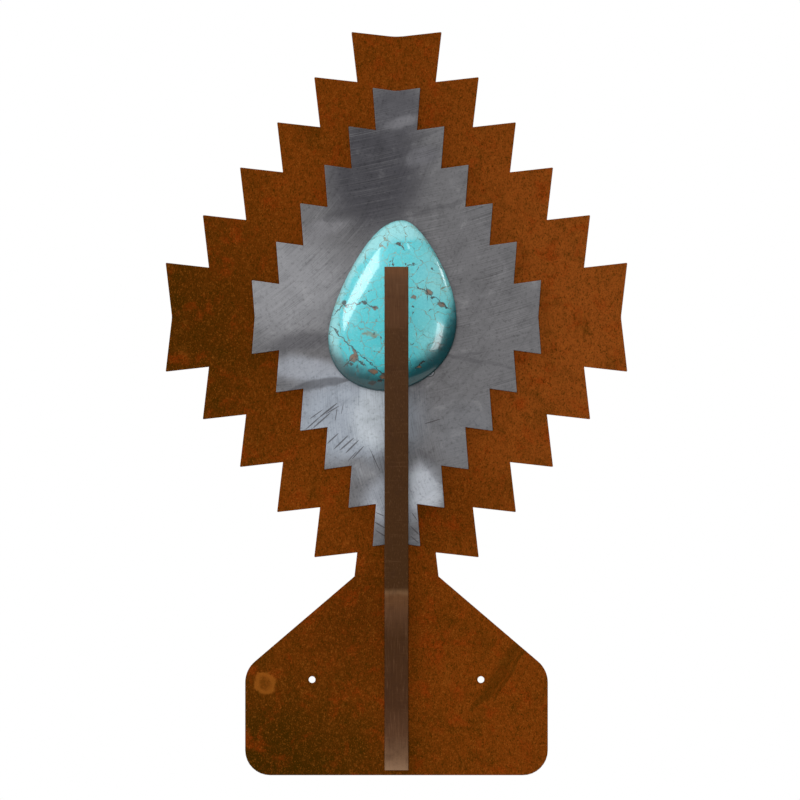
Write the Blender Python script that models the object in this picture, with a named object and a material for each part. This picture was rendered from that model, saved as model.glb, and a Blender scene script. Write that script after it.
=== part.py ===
"""Wall-hung kinetic sculpture: a stepped steel plate on a foot, with a stepped diamond and a stone turning before it.

Metres, +Z up, front faces -Y. The origin is on the back of the plate, midway between its two screw holes.
Depths are distances forward from the back of the plate, so a depth d lies at y = -d.
"""

import math

import bmesh
import bpy
import numpy as np

# Clearances
GAP = 0.0003  # between pieces that touch
RUNNING_GAP = 0.0001  # round the axle, where a bush turns on it
SWEEP_GAP = 0.005  # between the turning diamond's tip and the bar

# Back plate: diamond
AXLE_HEIGHT = 0.2898
PLATE_THICK = 0.003
PLATE_TOP_HALF = 0.0361
PLATE_STEP_OUT = 0.0297
PLATE_SIDE_HALF = 0.0436
PLATE_RISES = (0.0381, 0.0381, 0.0361, 0.0361, 0.0361)
PLATE_SIDE_LEAN = 0.117
PLATE_TOP_LEAN = 0.113
PLATE_CORNER = 0.0008
PLATE_DIP = 0.056
PLATE_NOTCH = 0.020

# Back plate: foot
FOOT_HALF = 0.121
FOOT_BELOW_HOLES = 0.0764
FOOT_SHOULDER = 0.0079
FOOT_OVER_TIP = 0.0208
FOOT_SHOULDER_ROUND = 0.022
FOOT_CORNER_ROUND = 0.020
HOLE_SPACING = 0.135
HOLE_WIDE = 0.0054

# Turning diamond
PANEL_THICK = 0.002
PANEL_TOP_HALF = 0.0190
PANEL_STEP_OUT = 0.0193
PANEL_SIDE_HALF = 0.0295
PANEL_RISES = (0.0307, 0.0307, 0.0307, 0.0307, 0.0307)
PANEL_SIDE_LEAN = 0.077
PANEL_TOP_LEAN = 0.14
PANEL_CORNER = 0.0006
PANEL_DIP = 0.030
PANEL_NOTCH = 0.015

# Stone: an egg about a leaning long axis, each side with its own width, taper and fullness
STONE_MIDDLE = (-0.0065, 0.0093)
STONE_HALF_LONG = 0.0688
STONE_LEAN = math.radians(11)
STONE_LEFT = (0.0406, 0.324, 0.150)
STONE_RIGHT = (0.0557, 0.264, -0.192)
STONE_HIGH = 0.017
STONE_GIRDLE = 0.003
STONE_ROUND = 2.4
STONE_DENSITY = 2700
BACKING_THICK = 0.001
BACKING_SHARE = 0.96
BACKING_DENSITY = 1100

# Axle, hub and bushes
AXLE_WIDE = 0.008
AXLE_HEAD_WIDE = 0.0152
SPIGOT_WIDE = 0.006
SPIGOT_LONG = 0.0034
BOSS_WIDE = 0.040
BOSS_THICK = 0.003
HUB_WIDE = 0.058
HUB_THICK = 0.002
SLEEVE_WIDE = 0.016
SLEEVE_PAST_STONE = 0.003
BUSH_WIDE = 0.012
BUSH_LONG = 0.010
BUSH_FLANGE_WIDE = 0.0155
BUSH_FLANGE_THICK = 0.0015
WASHER_WIDE = 0.015
WASHER_THICK = 0.001
SPACER_WIDE = 0.014

# Rivets
RIVET_WIDE = 0.004
RIVET_HEAD_WIDE = 0.007
RIVET_HEAD_HIGH = 0.0013
RIVET_SINK_DEEP = 0.0014
BOSS_RIVETS = 3
BOSS_RIVET_RADIUS = 0.014
HUB_RIVETS = 4
HUB_RIVET_RADIUS = 0.022

# Balance weight
WEIGHT_WIDE = 0.034
WEIGHT_TALL = 0.064
WEIGHT_THICK = 0.003
WEIGHT_ROUND = 0.004
WEIGHT_FROM_HUB = 0.003
WEIGHT_RIVET_SPACING = 0.016
WEIGHT_RIVET_INSET = 0.012
STEEL_DENSITY = 7850

# Bar in front: 3/4 in by 3/16 in flat bar
STRAP_WIDE = 0.01905
STRAP_THICK = 0.0048
STRAP_STANDOFF = 0.006
STRAP_ABOVE_FOOT_EDGE = 0.0044
STRAP_CREASE_BELOW_SWEEP = 0.0355
STRAP_BEND_BELOW_AXLE = 0.009
STRAP_TOP_ABOVE_AXLE = 0.0394
STRAP_BEND_ROUND = 0.0074
STRAP_SCREW_INSET = 0.020
STRAP_SCREW_WIDE = 0.004
STRAP_SCREW_HEAD_WIDE = 0.008
STRAP_SCREW_SINK = 0.002
STRAP_SCREW_GRIP = 0.0033
STRAP_SPACER_WIDE = 0.012

ROUND_STEPS = 32
SMALL_STEPS = 16
STONE_STEPS = 60
ARC_STEPS = 3
SMOOTH_ANGLE = math.radians(35)
CUT_PAST = 0.001  # a cutter runs this far past a face

# Depths, from the wall forward
BOSS_BACK = PLATE_THICK + GAP
BOSS_FRONT = BOSS_BACK + BOSS_THICK
REAR_WASHER_BACK = BOSS_FRONT + GAP
REAR_BUSH_BACK = REAR_WASHER_BACK + WASHER_THICK + GAP
HUB_BACK = REAR_BUSH_BACK + BUSH_FLANGE_THICK + GAP
HUB_FRONT = HUB_BACK + HUB_THICK
PANEL_BACK = HUB_FRONT + GAP
PANEL_FRONT = PANEL_BACK + PANEL_THICK
BACKING_BACK = PANEL_FRONT + GAP
STONE_BACK = BACKING_BACK + BACKING_THICK + GAP
STONE_APEX = STONE_BACK + STONE_HIGH
SLEEVE_END = STONE_APEX + SLEEVE_PAST_STONE
FRONT_BUSH_BACK = SLEEVE_END + GAP
FRONT_WASHER_BACK = FRONT_BUSH_BACK + BUSH_FLANGE_THICK + GAP
SPACER_BACK = FRONT_WASHER_BACK + WASHER_THICK + GAP
STRAP_FOOT_BACK = PLATE_THICK + STRAP_STANDOFF + 2 * GAP

# Heights of the bar, from the line through the screw holes
PANEL_SWEEP = math.hypot(PANEL_TOP_HALF, PANEL_SIDE_HALF + sum(PANEL_RISES))
SWEEP_LOW = AXLE_HEIGHT - PANEL_SWEEP
STRAP_BOTTOM = STRAP_ABOVE_FOOT_EDGE - FOOT_BELOW_HOLES
STRAP_CREASE = SWEEP_LOW - STRAP_CREASE_BELOW_SWEEP
STRAP_BEND = AXLE_HEIGHT - STRAP_BEND_BELOW_AXLE
STRAP_TOP = AXLE_HEIGHT + STRAP_TOP_ABOVE_AXLE
STRAP_SLOPE = (PANEL_FRONT + SWEEP_GAP - STRAP_FOOT_BACK) / STRAP_CREASE_BELOW_SWEEP
STRAP_UPRIGHT_BACK = STRAP_FOOT_BACK + STRAP_SLOPE * (STRAP_BEND - STRAP_CREASE)


def clear_scene():
    for obj in list(bpy.data.objects):
        bpy.data.objects.remove(obj, do_unlink=True)


def finish(name, rgb, roughness, metallic):
    """A plain surface of one colour."""
    material = bpy.data.materials.new(name)
    material.use_nodes = True
    shader = material.node_tree.nodes["Principled BSDF"]
    shader.inputs["Base Color"].default_value = (*rgb, 1.0)
    shader.inputs["Roughness"].default_value = roughness
    shader.inputs["Metallic"].default_value = metallic
    return material


def empty_at(name, height):
    """An empty on the centre line, which carries the pieces of one body."""
    empty = bpy.data.objects.new(name, None)
    empty.empty_display_size = 0.05
    empty.location = (0, 0, height)
    bpy.context.scene.collection.objects.link(empty)
    return empty


def add_object(name, mesh, material, parent, place=(0, 0, 0)):
    obj = bpy.data.objects.new(name, mesh)
    if material:
        mesh.materials.clear()
        mesh.materials.append(material)
    obj.location = place
    obj.parent = parent
    bpy.context.scene.collection.objects.link(obj)
    return obj


def mesh_from(name, shape):
    """Closes up a bmesh with its faces pointing out, and shades its round sides smooth."""
    bmesh.ops.remove_doubles(shape, verts=shape.verts, dist=1e-7)
    bmesh.ops.recalc_face_normals(shape, faces=shape.faces)
    mesh = bpy.data.meshes.new(name)
    shape.to_mesh(mesh)
    shape.free()
    mesh.shade_smooth()
    mesh.set_sharp_from_angle(angle=SMOOTH_ANGLE)
    return mesh


def slab(name, outline, back, front):
    """A flat piece: an (x, z) outline carried from one depth to another."""
    shape = bmesh.new()
    rear = [shape.verts.new((x, -back, z)) for x, z in outline]
    face = shape.faces.new(rear)
    moved = bmesh.ops.extrude_face_region(shape, geom=[face])["geom"]
    ahead = [part for part in moved if isinstance(part, bmesh.types.BMVert)]
    bmesh.ops.translate(shape, verts=ahead, vec=(0, back - front, 0))
    return mesh_from(name, shape)


def turned(name, profile, steps=ROUND_STEPS, closed=False):
    """A round piece: (radius, depth) points turned about the Y axis. A closed profile makes a ring."""
    shape = bmesh.new()
    points = [shape.verts.new((radius, -depth, 0)) for radius, depth in profile]
    ends = points[1:] + points[:1] if closed else points[1:]
    edges = [shape.edges.new(pair) for pair in zip(points, ends)]
    bmesh.ops.spin(
        shape,
        geom=points + edges,
        cent=(0, 0, 0),
        axis=(0, 1, 0),
        angle=2 * math.pi,
        steps=steps,
        use_merge=True,
    )
    return mesh_from(name, shape)


def ring(name, bore, wide, back, front, steps=ROUND_STEPS):
    """A washer or tube between two depths."""
    inner = bore / 2
    outer = wide / 2
    profile = [(inner, back), (outer, back), (outer, front), (inner, front)]
    return turned(name, profile, steps, closed=True)


def drill(obj, name, holes, parent):
    """Cuts (mesh, place) bodies out of a piece with one hidden cutter that holds them all."""
    shape = bmesh.new()
    for mesh, place in holes:
        first = len(shape.verts)
        shape.from_mesh(mesh)
        shape.verts.ensure_lookup_table()
        bmesh.ops.translate(shape, verts=shape.verts[first:], vec=place)
    cutter = add_object(name, bpy.data.meshes.new(name), None, parent)
    shape.to_mesh(cutter.data)
    shape.free()
    cutter.hide_render = True
    cutter.display_type = "WIRE"
    boolean = obj.modifiers.new(name, "BOOLEAN")
    boolean.operation = "DIFFERENCE"
    boolean.solver = "EXACT"
    boolean.object = cutter


def rounded(corners):
    """Turns (x, z, radius) corners into an outline whose corners are arcs of those radii."""
    outline = []
    for i, (x, z, radius) in enumerate(corners):
        point = np.array((x, z))
        if radius == 0:
            outline.append((x, z))
            continue
        before = np.array(corners[i - 1][:2]) - point
        after = np.array(corners[(i + 1) % len(corners)][:2]) - point
        before_long = np.linalg.norm(before)
        after_long = np.linalg.norm(after)
        before = before / before_long
        after = after / after_long
        half_angle = math.acos(np.clip(before @ after, -1, 1)) / 2
        reach = min(radius / math.tan(half_angle), 0.45 * before_long, 0.45 * after_long)
        radius = reach * math.tan(half_angle)
        middle = before + after
        centre = point + middle / np.linalg.norm(middle) * radius / math.sin(half_angle)
        start = point + before * reach - centre
        end = point + after * reach - centre
        turn = math.acos(np.clip(start @ end / radius**2, -1, 1))
        for step in range(ARC_STEPS + 1):
            share = step / ARC_STEPS
            weight_start = math.sin((1 - share) * turn) / math.sin(turn)
            weight_end = math.sin(share * turn) / math.sin(turn)
            outline.append(tuple(centre + weight_start * start + weight_end * end))
    return outline


def stepped_side(side_half, rises, top_half, step_out, side_lean, top_lean, corner):
    """Corners of a stepped diamond's upper right edge, from its side notch up to its top dip.

    Each step is a block. Its side leans in towards the notch, and its top leans down towards the dip, so the
    outer corners are sharp hooks. Inner corners are where a block's top meets the side of the block above.
    """
    steps = len(rises)
    halves = [top_half + (steps - k) * step_out for k in range(steps + 1)]
    heights = [side_half + sum(rises[:k]) for k in range(steps + 1)]
    corners = [(halves[0], heights[0], corner)]
    for k in range(1, steps + 1):
        below_half, below_high = halves[k - 1], heights[k - 1]
        half, high = halves[k], heights[k]
        fall = top_lean * (below_half - half) + top_lean * side_lean * (high - below_high)
        inner_high = below_high - fall / (1 - top_lean * side_lean)
        inner_half = half - side_lean * (high - inner_high)
        corners.append((inner_half, inner_high, 0))
        corners.append((half, high, corner))
    return corners


def mirrored(corners, x_sign, z_sign):
    return [(x_sign * x, z_sign * z, radius) for x, z, radius in corners]


def panel_outline():
    """The turning diamond: the stepped side mirrored four ways, with its dips and notches between."""
    side = stepped_side(
        PANEL_SIDE_HALF,
        PANEL_RISES,
        PANEL_TOP_HALF,
        PANEL_STEP_OUT,
        PANEL_SIDE_LEAN,
        PANEL_TOP_LEAN,
        PANEL_CORNER,
    )
    notch = side[0][0] - PANEL_SIDE_LEAN * side[0][1]
    dip = side[-1][1] - PANEL_TOP_LEAN * side[-1][0]
    corners = [(notch, 0, PANEL_NOTCH), *side, (0, dip, PANEL_DIP)]
    corners += [*mirrored(side[::-1], -1, 1), (-notch, 0, PANEL_NOTCH)]
    corners += [*mirrored(side, -1, -1), (0, -dip, PANEL_DIP), *mirrored(side[::-1], 1, -1)]
    return rounded(corners)


def plate_outline():
    """The back plate: a larger stepped diamond whose lowest block runs into the foot."""
    side = stepped_side(
        PLATE_SIDE_HALF,
        PLATE_RISES,
        PLATE_TOP_HALF,
        PLATE_STEP_OUT,
        PLATE_SIDE_LEAN,
        PLATE_TOP_LEAN,
        PLATE_CORNER,
    )
    notch = side[0][0] - PLATE_SIDE_LEAN * side[0][1]
    dip = side[-1][1] - PLATE_TOP_LEAN * side[-1][0]
    tip_half, tip_high = side[-1][:2]
    neck_high = tip_high - FOOT_OVER_TIP
    neck_half = tip_half - PLATE_SIDE_LEAN * FOOT_OVER_TIP
    upper = [(notch, 0, PLATE_NOTCH), *side, (0, dip, PLATE_DIP)]
    upper += [*mirrored(side[::-1], -1, 1), (-notch, 0, PLATE_NOTCH)]
    left_low = [*mirrored(side[:-1], -1, -1), (-neck_half, -neck_high, 0)]
    right_low = mirrored(left_low[::-1], -1, 1)
    shoulder = FOOT_SHOULDER - AXLE_HEIGHT
    bottom = -FOOT_BELOW_HOLES - AXLE_HEIGHT
    foot = [(-FOOT_HALF, shoulder, FOOT_SHOULDER_ROUND), (-FOOT_HALF, bottom, FOOT_CORNER_ROUND)]
    foot += mirrored(foot[::-1], -1, 1)
    corners = upper + left_low + foot + right_low
    return rounded([(x, z + AXLE_HEIGHT, radius) for x, z, radius in corners])


def countersunk(name, head_wide, hole_wide, sink, deep, steps=SMALL_STEPS):
    """Cutter for a countersunk hole from the back of the plate, to a depth past its front."""
    slope = (head_wide - hole_wide) / 2 / sink
    profile = [
        (0, -CUT_PAST),
        (head_wide / 2 + slope * CUT_PAST, -CUT_PAST),
        (hole_wide / 2, sink),
        (hole_wide / 2, deep),
        (0, deep),
    ]
    return turned(name, profile, steps)


def round_cutter(name, wide, back, front, steps=SMALL_STEPS):
    profile = [(0, back), (wide / 2, back), (wide / 2, front), (0, front)]
    return turned(name, profile, steps)


def around(count, radius, first=0.0):
    """Places evenly round the axle, from a first bearing."""
    angles = [first + 2 * math.pi * k / count for k in range(count)]
    return [(radius * math.sin(angle), 0, radius * math.cos(angle)) for angle in angles]


def strap_screw_heights():
    return {"upper": STRAP_CREASE - STRAP_SCREW_INSET, "lower": STRAP_BOTTOM + STRAP_SCREW_INSET}


def make_back_plate(frame, rust):
    plate = add_object("back_plate", slab("back_plate", plate_outline(), 0, PLATE_THICK), rust, frame)
    past = PLATE_THICK + CUT_PAST
    wall_hole = round_cutter("wall_hole", HOLE_WIDE, -CUT_PAST, past)
    axle_wide = (AXLE_HEAD_WIDE + 2 * GAP, AXLE_WIDE + 2 * GAP)
    axle_hole = countersunk("axle_hole", *axle_wide, PLATE_THICK, past, ROUND_STEPS)
    rivet_wide = (RIVET_HEAD_WIDE + 2 * GAP, RIVET_WIDE + 2 * GAP)
    rivet_hole = countersunk("rivet_hole", *rivet_wide, RIVET_SINK_DEEP, past)
    screw_wide = (STRAP_SCREW_HEAD_WIDE + 2 * GAP, STRAP_SCREW_WIDE + 2 * GAP)
    screw_hole = countersunk("screw_hole", *screw_wide, STRAP_SCREW_SINK, past)
    holes = [(wall_hole, (x, 0, 0)) for x in (-HOLE_SPACING / 2, HOLE_SPACING / 2)]
    holes += [(axle_hole, (0, 0, AXLE_HEIGHT))]
    holes += [(rivet_hole, (x, 0, AXLE_HEIGHT + z)) for x, _, z in around(BOSS_RIVETS, BOSS_RIVET_RADIUS)]
    holes += [(screw_hole, (0, 0, height)) for height in strap_screw_heights().values()]
    drill(plate, "plate_holes", holes, frame)


def bent_path(corners):
    """Centre line of the bar as (depth, height) points, with an arc at each bend."""
    path = rounded([(depth, height, radius) for depth, height, radius in corners])
    return np.array(path)


def make_strap(frame, bronze):
    """Flat bar: a leg on the foot, a leg that slopes forward past the diamond's sweep, and an upright end."""
    foot_middle = STRAP_FOOT_BACK + STRAP_THICK / 2
    upright_middle = STRAP_UPRIGHT_BACK + STRAP_THICK / 2
    path = bent_path(
        [
            (foot_middle, STRAP_BOTTOM, 0),
            (foot_middle, STRAP_CREASE, STRAP_BEND_ROUND),
            (upright_middle, STRAP_BEND, STRAP_BEND_ROUND),
            (upright_middle, STRAP_TOP, 0),
        ]
    )
    along = np.gradient(path, axis=0)
    along[1] = along[0] = path[1] - path[0]
    along[-2] = along[-1] = path[-1] - path[-2]
    along /= np.linalg.norm(along, axis=1)[:, None]
    forward = np.stack([along[:, 1], -along[:, 0]], axis=1)
    front = path + forward * STRAP_THICK / 2
    back = path - forward * STRAP_THICK / 2
    shape = bmesh.new()
    side = [shape.verts.new((-STRAP_WIDE / 2, -d, z)) for d, z in (*front, *back[::-1])]
    face = shape.faces.new(side)
    moved = bmesh.ops.extrude_face_region(shape, geom=[face])["geom"]
    other = [part for part in moved if isinstance(part, bmesh.types.BMVert)]
    bmesh.ops.translate(shape, verts=other, vec=(STRAP_WIDE, 0, 0))
    strap = add_object("strap_bracket", mesh_from("strap_bracket", shape), bronze, frame)
    socket_end = STRAP_UPRIGHT_BACK + SPIGOT_LONG + GAP
    socket = round_cutter("socket", SPIGOT_WIDE + 2 * GAP, STRAP_UPRIGHT_BACK - CUT_PAST, socket_end)
    tapped_end = STRAP_FOOT_BACK + STRAP_SCREW_GRIP + GAP
    tapped = round_cutter("tapped", STRAP_SCREW_WIDE + 2 * GAP, STRAP_FOOT_BACK - CUT_PAST, tapped_end)
    holes = [(socket, (0, 0, AXLE_HEIGHT))]
    holes += [(tapped, (0, 0, height)) for height in strap_screw_heights().values()]
    drill(strap, "strap_holes", holes, frame)


def make_strap_fixings(frame, steel, zinc):
    """A spacer and a countersunk screw at each end of the bar's foot leg."""
    spacer = ring(
        "strap_spacer",
        STRAP_SCREW_WIDE + 2 * GAP,
        STRAP_SPACER_WIDE,
        PLATE_THICK + GAP,
        PLATE_THICK + GAP + STRAP_STANDOFF,
        SMALL_STEPS,
    )
    slope = (STRAP_SCREW_HEAD_WIDE - STRAP_SCREW_WIDE) / 2 / STRAP_SCREW_SINK
    lip = GAP
    profile = [
        (0, lip),
        (STRAP_SCREW_HEAD_WIDE / 2 - slope * lip, lip),
        (STRAP_SCREW_WIDE / 2, STRAP_SCREW_SINK),
        (STRAP_SCREW_WIDE / 2, STRAP_FOOT_BACK + STRAP_SCREW_GRIP),
        (0, STRAP_FOOT_BACK + STRAP_SCREW_GRIP),
    ]
    screw = turned("strap_screw", profile, SMALL_STEPS)
    for place, height in strap_screw_heights().items():
        add_object(f"strap_spacer_{place}", spacer, steel, frame, (0, 0, height))
        add_object(f"strap_screw_{place}", screw, zinc, frame, (0, 0, height))


def make_axle(frame, steel):
    """Countersunk shoulder pin through the plate. Its front spigot sits in the bar's blind bore."""
    radius = AXLE_WIDE / 2
    slope = (AXLE_HEAD_WIDE / 2 - radius) / PLATE_THICK
    shoulder = STRAP_UPRIGHT_BACK - GAP
    profile = [
        (0, GAP),
        (AXLE_HEAD_WIDE / 2 - slope * GAP, GAP),
        (radius, PLATE_THICK),
        (radius, shoulder),
        (SPIGOT_WIDE / 2, shoulder),
        (SPIGOT_WIDE / 2, STRAP_UPRIGHT_BACK + SPIGOT_LONG),
        (0, STRAP_UPRIGHT_BACK + SPIGOT_LONG),
    ]
    add_object("axle", turned("axle", profile), steel, frame, (0, 0, AXLE_HEIGHT))


def make_axle_boss(frame, steel):
    """Round flange on the front of the plate, with its rivet holes."""
    mesh = ring("axle_boss", AXLE_WIDE + 2 * GAP, BOSS_WIDE, BOSS_BACK, BOSS_FRONT)
    boss = add_object("axle_boss", mesh, steel, frame, (0, 0, AXLE_HEIGHT))
    hole = round_cutter("boss_hole", RIVET_WIDE + 2 * GAP, BOSS_BACK - CUT_PAST, BOSS_FRONT + CUT_PAST)
    places = [(x, 0, AXLE_HEIGHT + z) for x, _, z in around(BOSS_RIVETS, BOSS_RIVET_RADIUS)]
    drill(boss, "boss_holes", [(hole, place) for place in places], frame)


def domed_head(face, outward):
    """Points of a rivet's domed head, from its rim on a face to its crown."""
    points = []
    for step in range(ARC_STEPS + 1):
        angle = math.pi / 2 * step / ARC_STEPS
        radius = RIVET_HEAD_WIDE / 2 * math.cos(angle)
        points.append((radius, face + outward * RIVET_HEAD_HIGH * math.sin(angle)))
    points[-1] = (0, face + outward * RIVET_HEAD_HIGH)
    return points


def sunk_head(face, inward):
    """Points of a rivet's countersunk head, from the middle of its flat face to its shank."""
    slope = (RIVET_HEAD_WIDE - RIVET_WIDE) / 2 / RIVET_SINK_DEEP
    return [
        (0, face + inward * GAP),
        (RIVET_HEAD_WIDE / 2 - slope * GAP, face + inward * GAP),
        (RIVET_WIDE / 2, face + inward * RIVET_SINK_DEEP),
    ]


def make_boss_rivets(frame, zinc):
    """Rivets sunk flush into the back of the plate, with domed heads on the boss."""
    dome = BOSS_FRONT + GAP
    profile = [*sunk_head(0, 1), (RIVET_WIDE / 2, dome), *domed_head(dome, 1)]
    mesh = turned("boss_rivet", profile, SMALL_STEPS)
    for k, (x, _, z) in enumerate(around(BOSS_RIVETS, BOSS_RIVET_RADIUS), 1):
        add_object(f"boss_rivet_{k}", mesh, zinc, frame, (x, 0, AXLE_HEIGHT + z))


def make_axle_rings(frame, nylon, steel):
    """Thrust washers at both ends of the hub, and the tube that holds the hub off the bar."""
    bore = AXLE_WIDE + 2 * GAP
    place = (0, 0, AXLE_HEIGHT)
    rear = ring("rear_washer", bore, WASHER_WIDE, REAR_WASHER_BACK, REAR_WASHER_BACK + WASHER_THICK)
    front = ring("front_washer", bore, WASHER_WIDE, FRONT_WASHER_BACK, FRONT_WASHER_BACK + WASHER_THICK)
    spacer = ring("front_spacer", bore, SPACER_WIDE, SPACER_BACK, STRAP_UPRIGHT_BACK - GAP)
    add_object("rear_washer", rear, nylon, frame, place)
    add_object("front_washer", front, nylon, frame, place)
    add_object("front_spacer", spacer, steel, frame, place)


def stone_width(side, along):
    """Half-width of the egg at a share of its half-length, before it closes at the ends."""
    width, taper, fullness = side
    return width * (1 - taper * along + fullness * along**2)


def stone_outline(share, steps=STONE_STEPS):
    """The egg's outline, or a smaller one inside it, as (x, z) about the axle."""
    angle = np.arange(steps) * 2 * math.pi / steps
    along = -share * np.cos(angle)
    across = share * np.sin(angle)
    right = stone_width(STONE_RIGHT, along)
    left = stone_width(STONE_LEFT, along)
    u = across * np.where(across > 0, right, left)
    v = along * STONE_HALF_LONG
    x = STONE_MIDDLE[0] + u * math.cos(STONE_LEAN) + v * math.sin(STONE_LEAN)
    z = STONE_MIDDLE[1] - u * math.sin(STONE_LEAN) + v * math.cos(STONE_LEAN)
    return np.stack([x, z], axis=1)


def stone_height(points):
    """Height of the dome over its flat back: a girdle, then a cushion that rounds over to its top."""
    x = points[..., 0] - STONE_MIDDLE[0]
    z = points[..., 1] - STONE_MIDDLE[1]
    u = x * math.cos(STONE_LEAN) - z * math.sin(STONE_LEAN)
    v = (x * math.sin(STONE_LEAN) + z * math.cos(STONE_LEAN)) / STONE_HALF_LONG
    width = np.where(u > 0, stone_width(STONE_RIGHT, v), stone_width(STONE_LEFT, v))
    share = np.clip(np.sqrt(v**2 + (u / width) ** 2), 0, 1)
    dome = np.sqrt(np.clip(1 - share**STONE_ROUND, 0, 1))
    return STONE_GIRDLE + (STONE_HIGH - STONE_GIRDLE) * dome


def backing_height(points):
    return np.full(points.shape[:-1], BACKING_THICK)


def bored_egg(name, share, back, thick, shares):
    """An egg-shaped piece with a round bore on the axle: rings of points from the bore out to the outline."""
    outer = stone_outline(share)
    bearing = outer / np.linalg.norm(outer, axis=1)[:, None]
    bore = bearing * (SLEEVE_WIDE / 2 + GAP)
    rings = bore + np.array(shares)[:, None, None] * (outer - bore)
    heights = thick(rings)
    front = np.stack([rings[..., 0], -back - heights, rings[..., 1]], axis=-1)
    rear = np.stack([rings[..., 0], np.full_like(heights, -back), rings[..., 1]], axis=-1)[[-1, 0]]
    loops = np.concatenate([front, rear])
    points = loops.reshape(-1, 3)
    count = len(outer)
    ring_index = np.arange(len(loops))
    here = np.arange(count)
    after = (here + 1) % count
    faces = []
    for low, high in zip(ring_index, np.roll(ring_index, -1)):
        corners = (low * count + here, low * count + after, high * count + after, high * count + here)
        faces.append(np.stack(corners, axis=1))
    mesh = bpy.data.meshes.new(name)
    mesh.from_pydata(points.tolist(), [], np.concatenate(faces).tolist())
    shape = bmesh.new()
    shape.from_mesh(mesh)
    bpy.data.meshes.remove(mesh)
    return mesh_from(name, shape)


def volume_and_centre(mesh):
    """Volume and centre of mass of a closed mesh, as the sum of tetrahedra from the origin."""
    mesh.calc_loop_triangles()
    points = np.array([vertex.co for vertex in mesh.vertices])
    corners = points[np.array([triangle.vertices for triangle in mesh.loop_triangles])]
    volumes = np.linalg.det(corners) / 6
    return volumes.sum(), (volumes[:, None] * corners.sum(axis=1) / 4).sum(axis=0) / volumes.sum()


def make_stone(rotor, turquoise, resin):
    """The domed stone and the thin backing under it. Returns their sideways moment about the axle."""
    shares = (0, 0.25, 0.45, 0.62, 0.76, 0.87, 0.95, 0.99, 1)
    stone = bored_egg("turquoise_stone", 1, STONE_BACK, stone_height, shares)
    backing = bored_egg("stone_backing", BACKING_SHARE, BACKING_BACK, backing_height, (0, 1))
    add_object("turquoise_stone", stone, turquoise, rotor)
    add_object("stone_backing", backing, resin, rotor)
    moment = 0
    for mesh, density in ((stone, STONE_DENSITY), (backing, BACKING_DENSITY)):
        volume, centre = volume_and_centre(mesh)
        moment += density * volume * centre[0]
    return moment


def make_balance_weight(rotor, steel, stone_moment):
    """Steel bar behind the panel, set aside so that stone and weight balance left and right of the axle."""
    mass = STEEL_DENSITY * WEIGHT_WIDE * WEIGHT_TALL * WEIGHT_THICK
    middle = -stone_moment / mass
    top = -(HUB_WIDE / 2 + WEIGHT_FROM_HUB)
    half = WEIGHT_WIDE / 2
    corners = [(middle + half, top), (middle - half, top)]
    corners += [(middle - half, top - WEIGHT_TALL), (middle + half, top - WEIGHT_TALL)]
    outline = rounded([(x, z, WEIGHT_ROUND) for x, z in corners])
    front = PANEL_BACK - GAP
    mesh = slab("balance_weight", outline, front - WEIGHT_THICK, front)
    weight = add_object("balance_weight", mesh, steel, rotor)
    height = top - WEIGHT_RIVET_INSET
    places = [(middle + side * WEIGHT_RIVET_SPACING / 2, 0, height) for side in (-1, 1)]
    rear = front - WEIGHT_THICK - CUT_PAST
    hole = round_cutter("weight_hole", RIVET_WIDE + 2 * GAP, rear, front + CUT_PAST)
    drill(weight, "weight_holes", [(hole, place) for place in places], rotor)
    return places


def make_panel(rotor, brushed, rivet_places):
    """The turning diamond, bored for the sleeve and countersunk on its front for every rivet."""
    mesh = slab("diamond_panel", panel_outline(), PANEL_BACK, PANEL_FRONT)
    panel = add_object("diamond_panel", mesh, brushed, rotor)
    rear = PANEL_BACK - CUT_PAST
    ahead = PANEL_FRONT + CUT_PAST
    bore = round_cutter("panel_bore", SLEEVE_WIDE + 2 * GAP, rear, ahead, ROUND_STEPS)
    slope = (RIVET_HEAD_WIDE - RIVET_WIDE) / 2 / RIVET_SINK_DEEP
    shank = RIVET_WIDE / 2 + GAP
    mouth = RIVET_HEAD_WIDE / 2 + GAP + slope * CUT_PAST
    profile = [(0, rear), (shank, rear), (shank, PANEL_FRONT - RIVET_SINK_DEEP), (mouth, ahead), (0, ahead)]
    hole = turned("panel_rivet_hole", profile, SMALL_STEPS)
    holes = [(bore, (0, 0, 0))] + [(hole, place) for place in rivet_places]
    drill(panel, "panel_holes", holes, rotor)


def make_hub(rotor, steel, rivet_places):
    """Flanged sleeve: the flange lies behind the panel, and the sleeve runs through panel and stone."""
    inner = BUSH_WIDE / 2 + GAP
    profile = [
        (inner, HUB_BACK),
        (HUB_WIDE / 2, HUB_BACK),
        (HUB_WIDE / 2, HUB_FRONT),
        (SLEEVE_WIDE / 2, HUB_FRONT),
        (SLEEVE_WIDE / 2, SLEEVE_END),
        (inner, SLEEVE_END),
    ]
    hub = add_object("rotor_hub", turned("rotor_hub", profile, closed=True), steel, rotor)
    hole = round_cutter("hub_hole", RIVET_WIDE + 2 * GAP, HUB_BACK - CUT_PAST, HUB_FRONT + CUT_PAST)
    drill(hub, "hub_holes", [(hole, place) for place in rivet_places], rotor)


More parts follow.
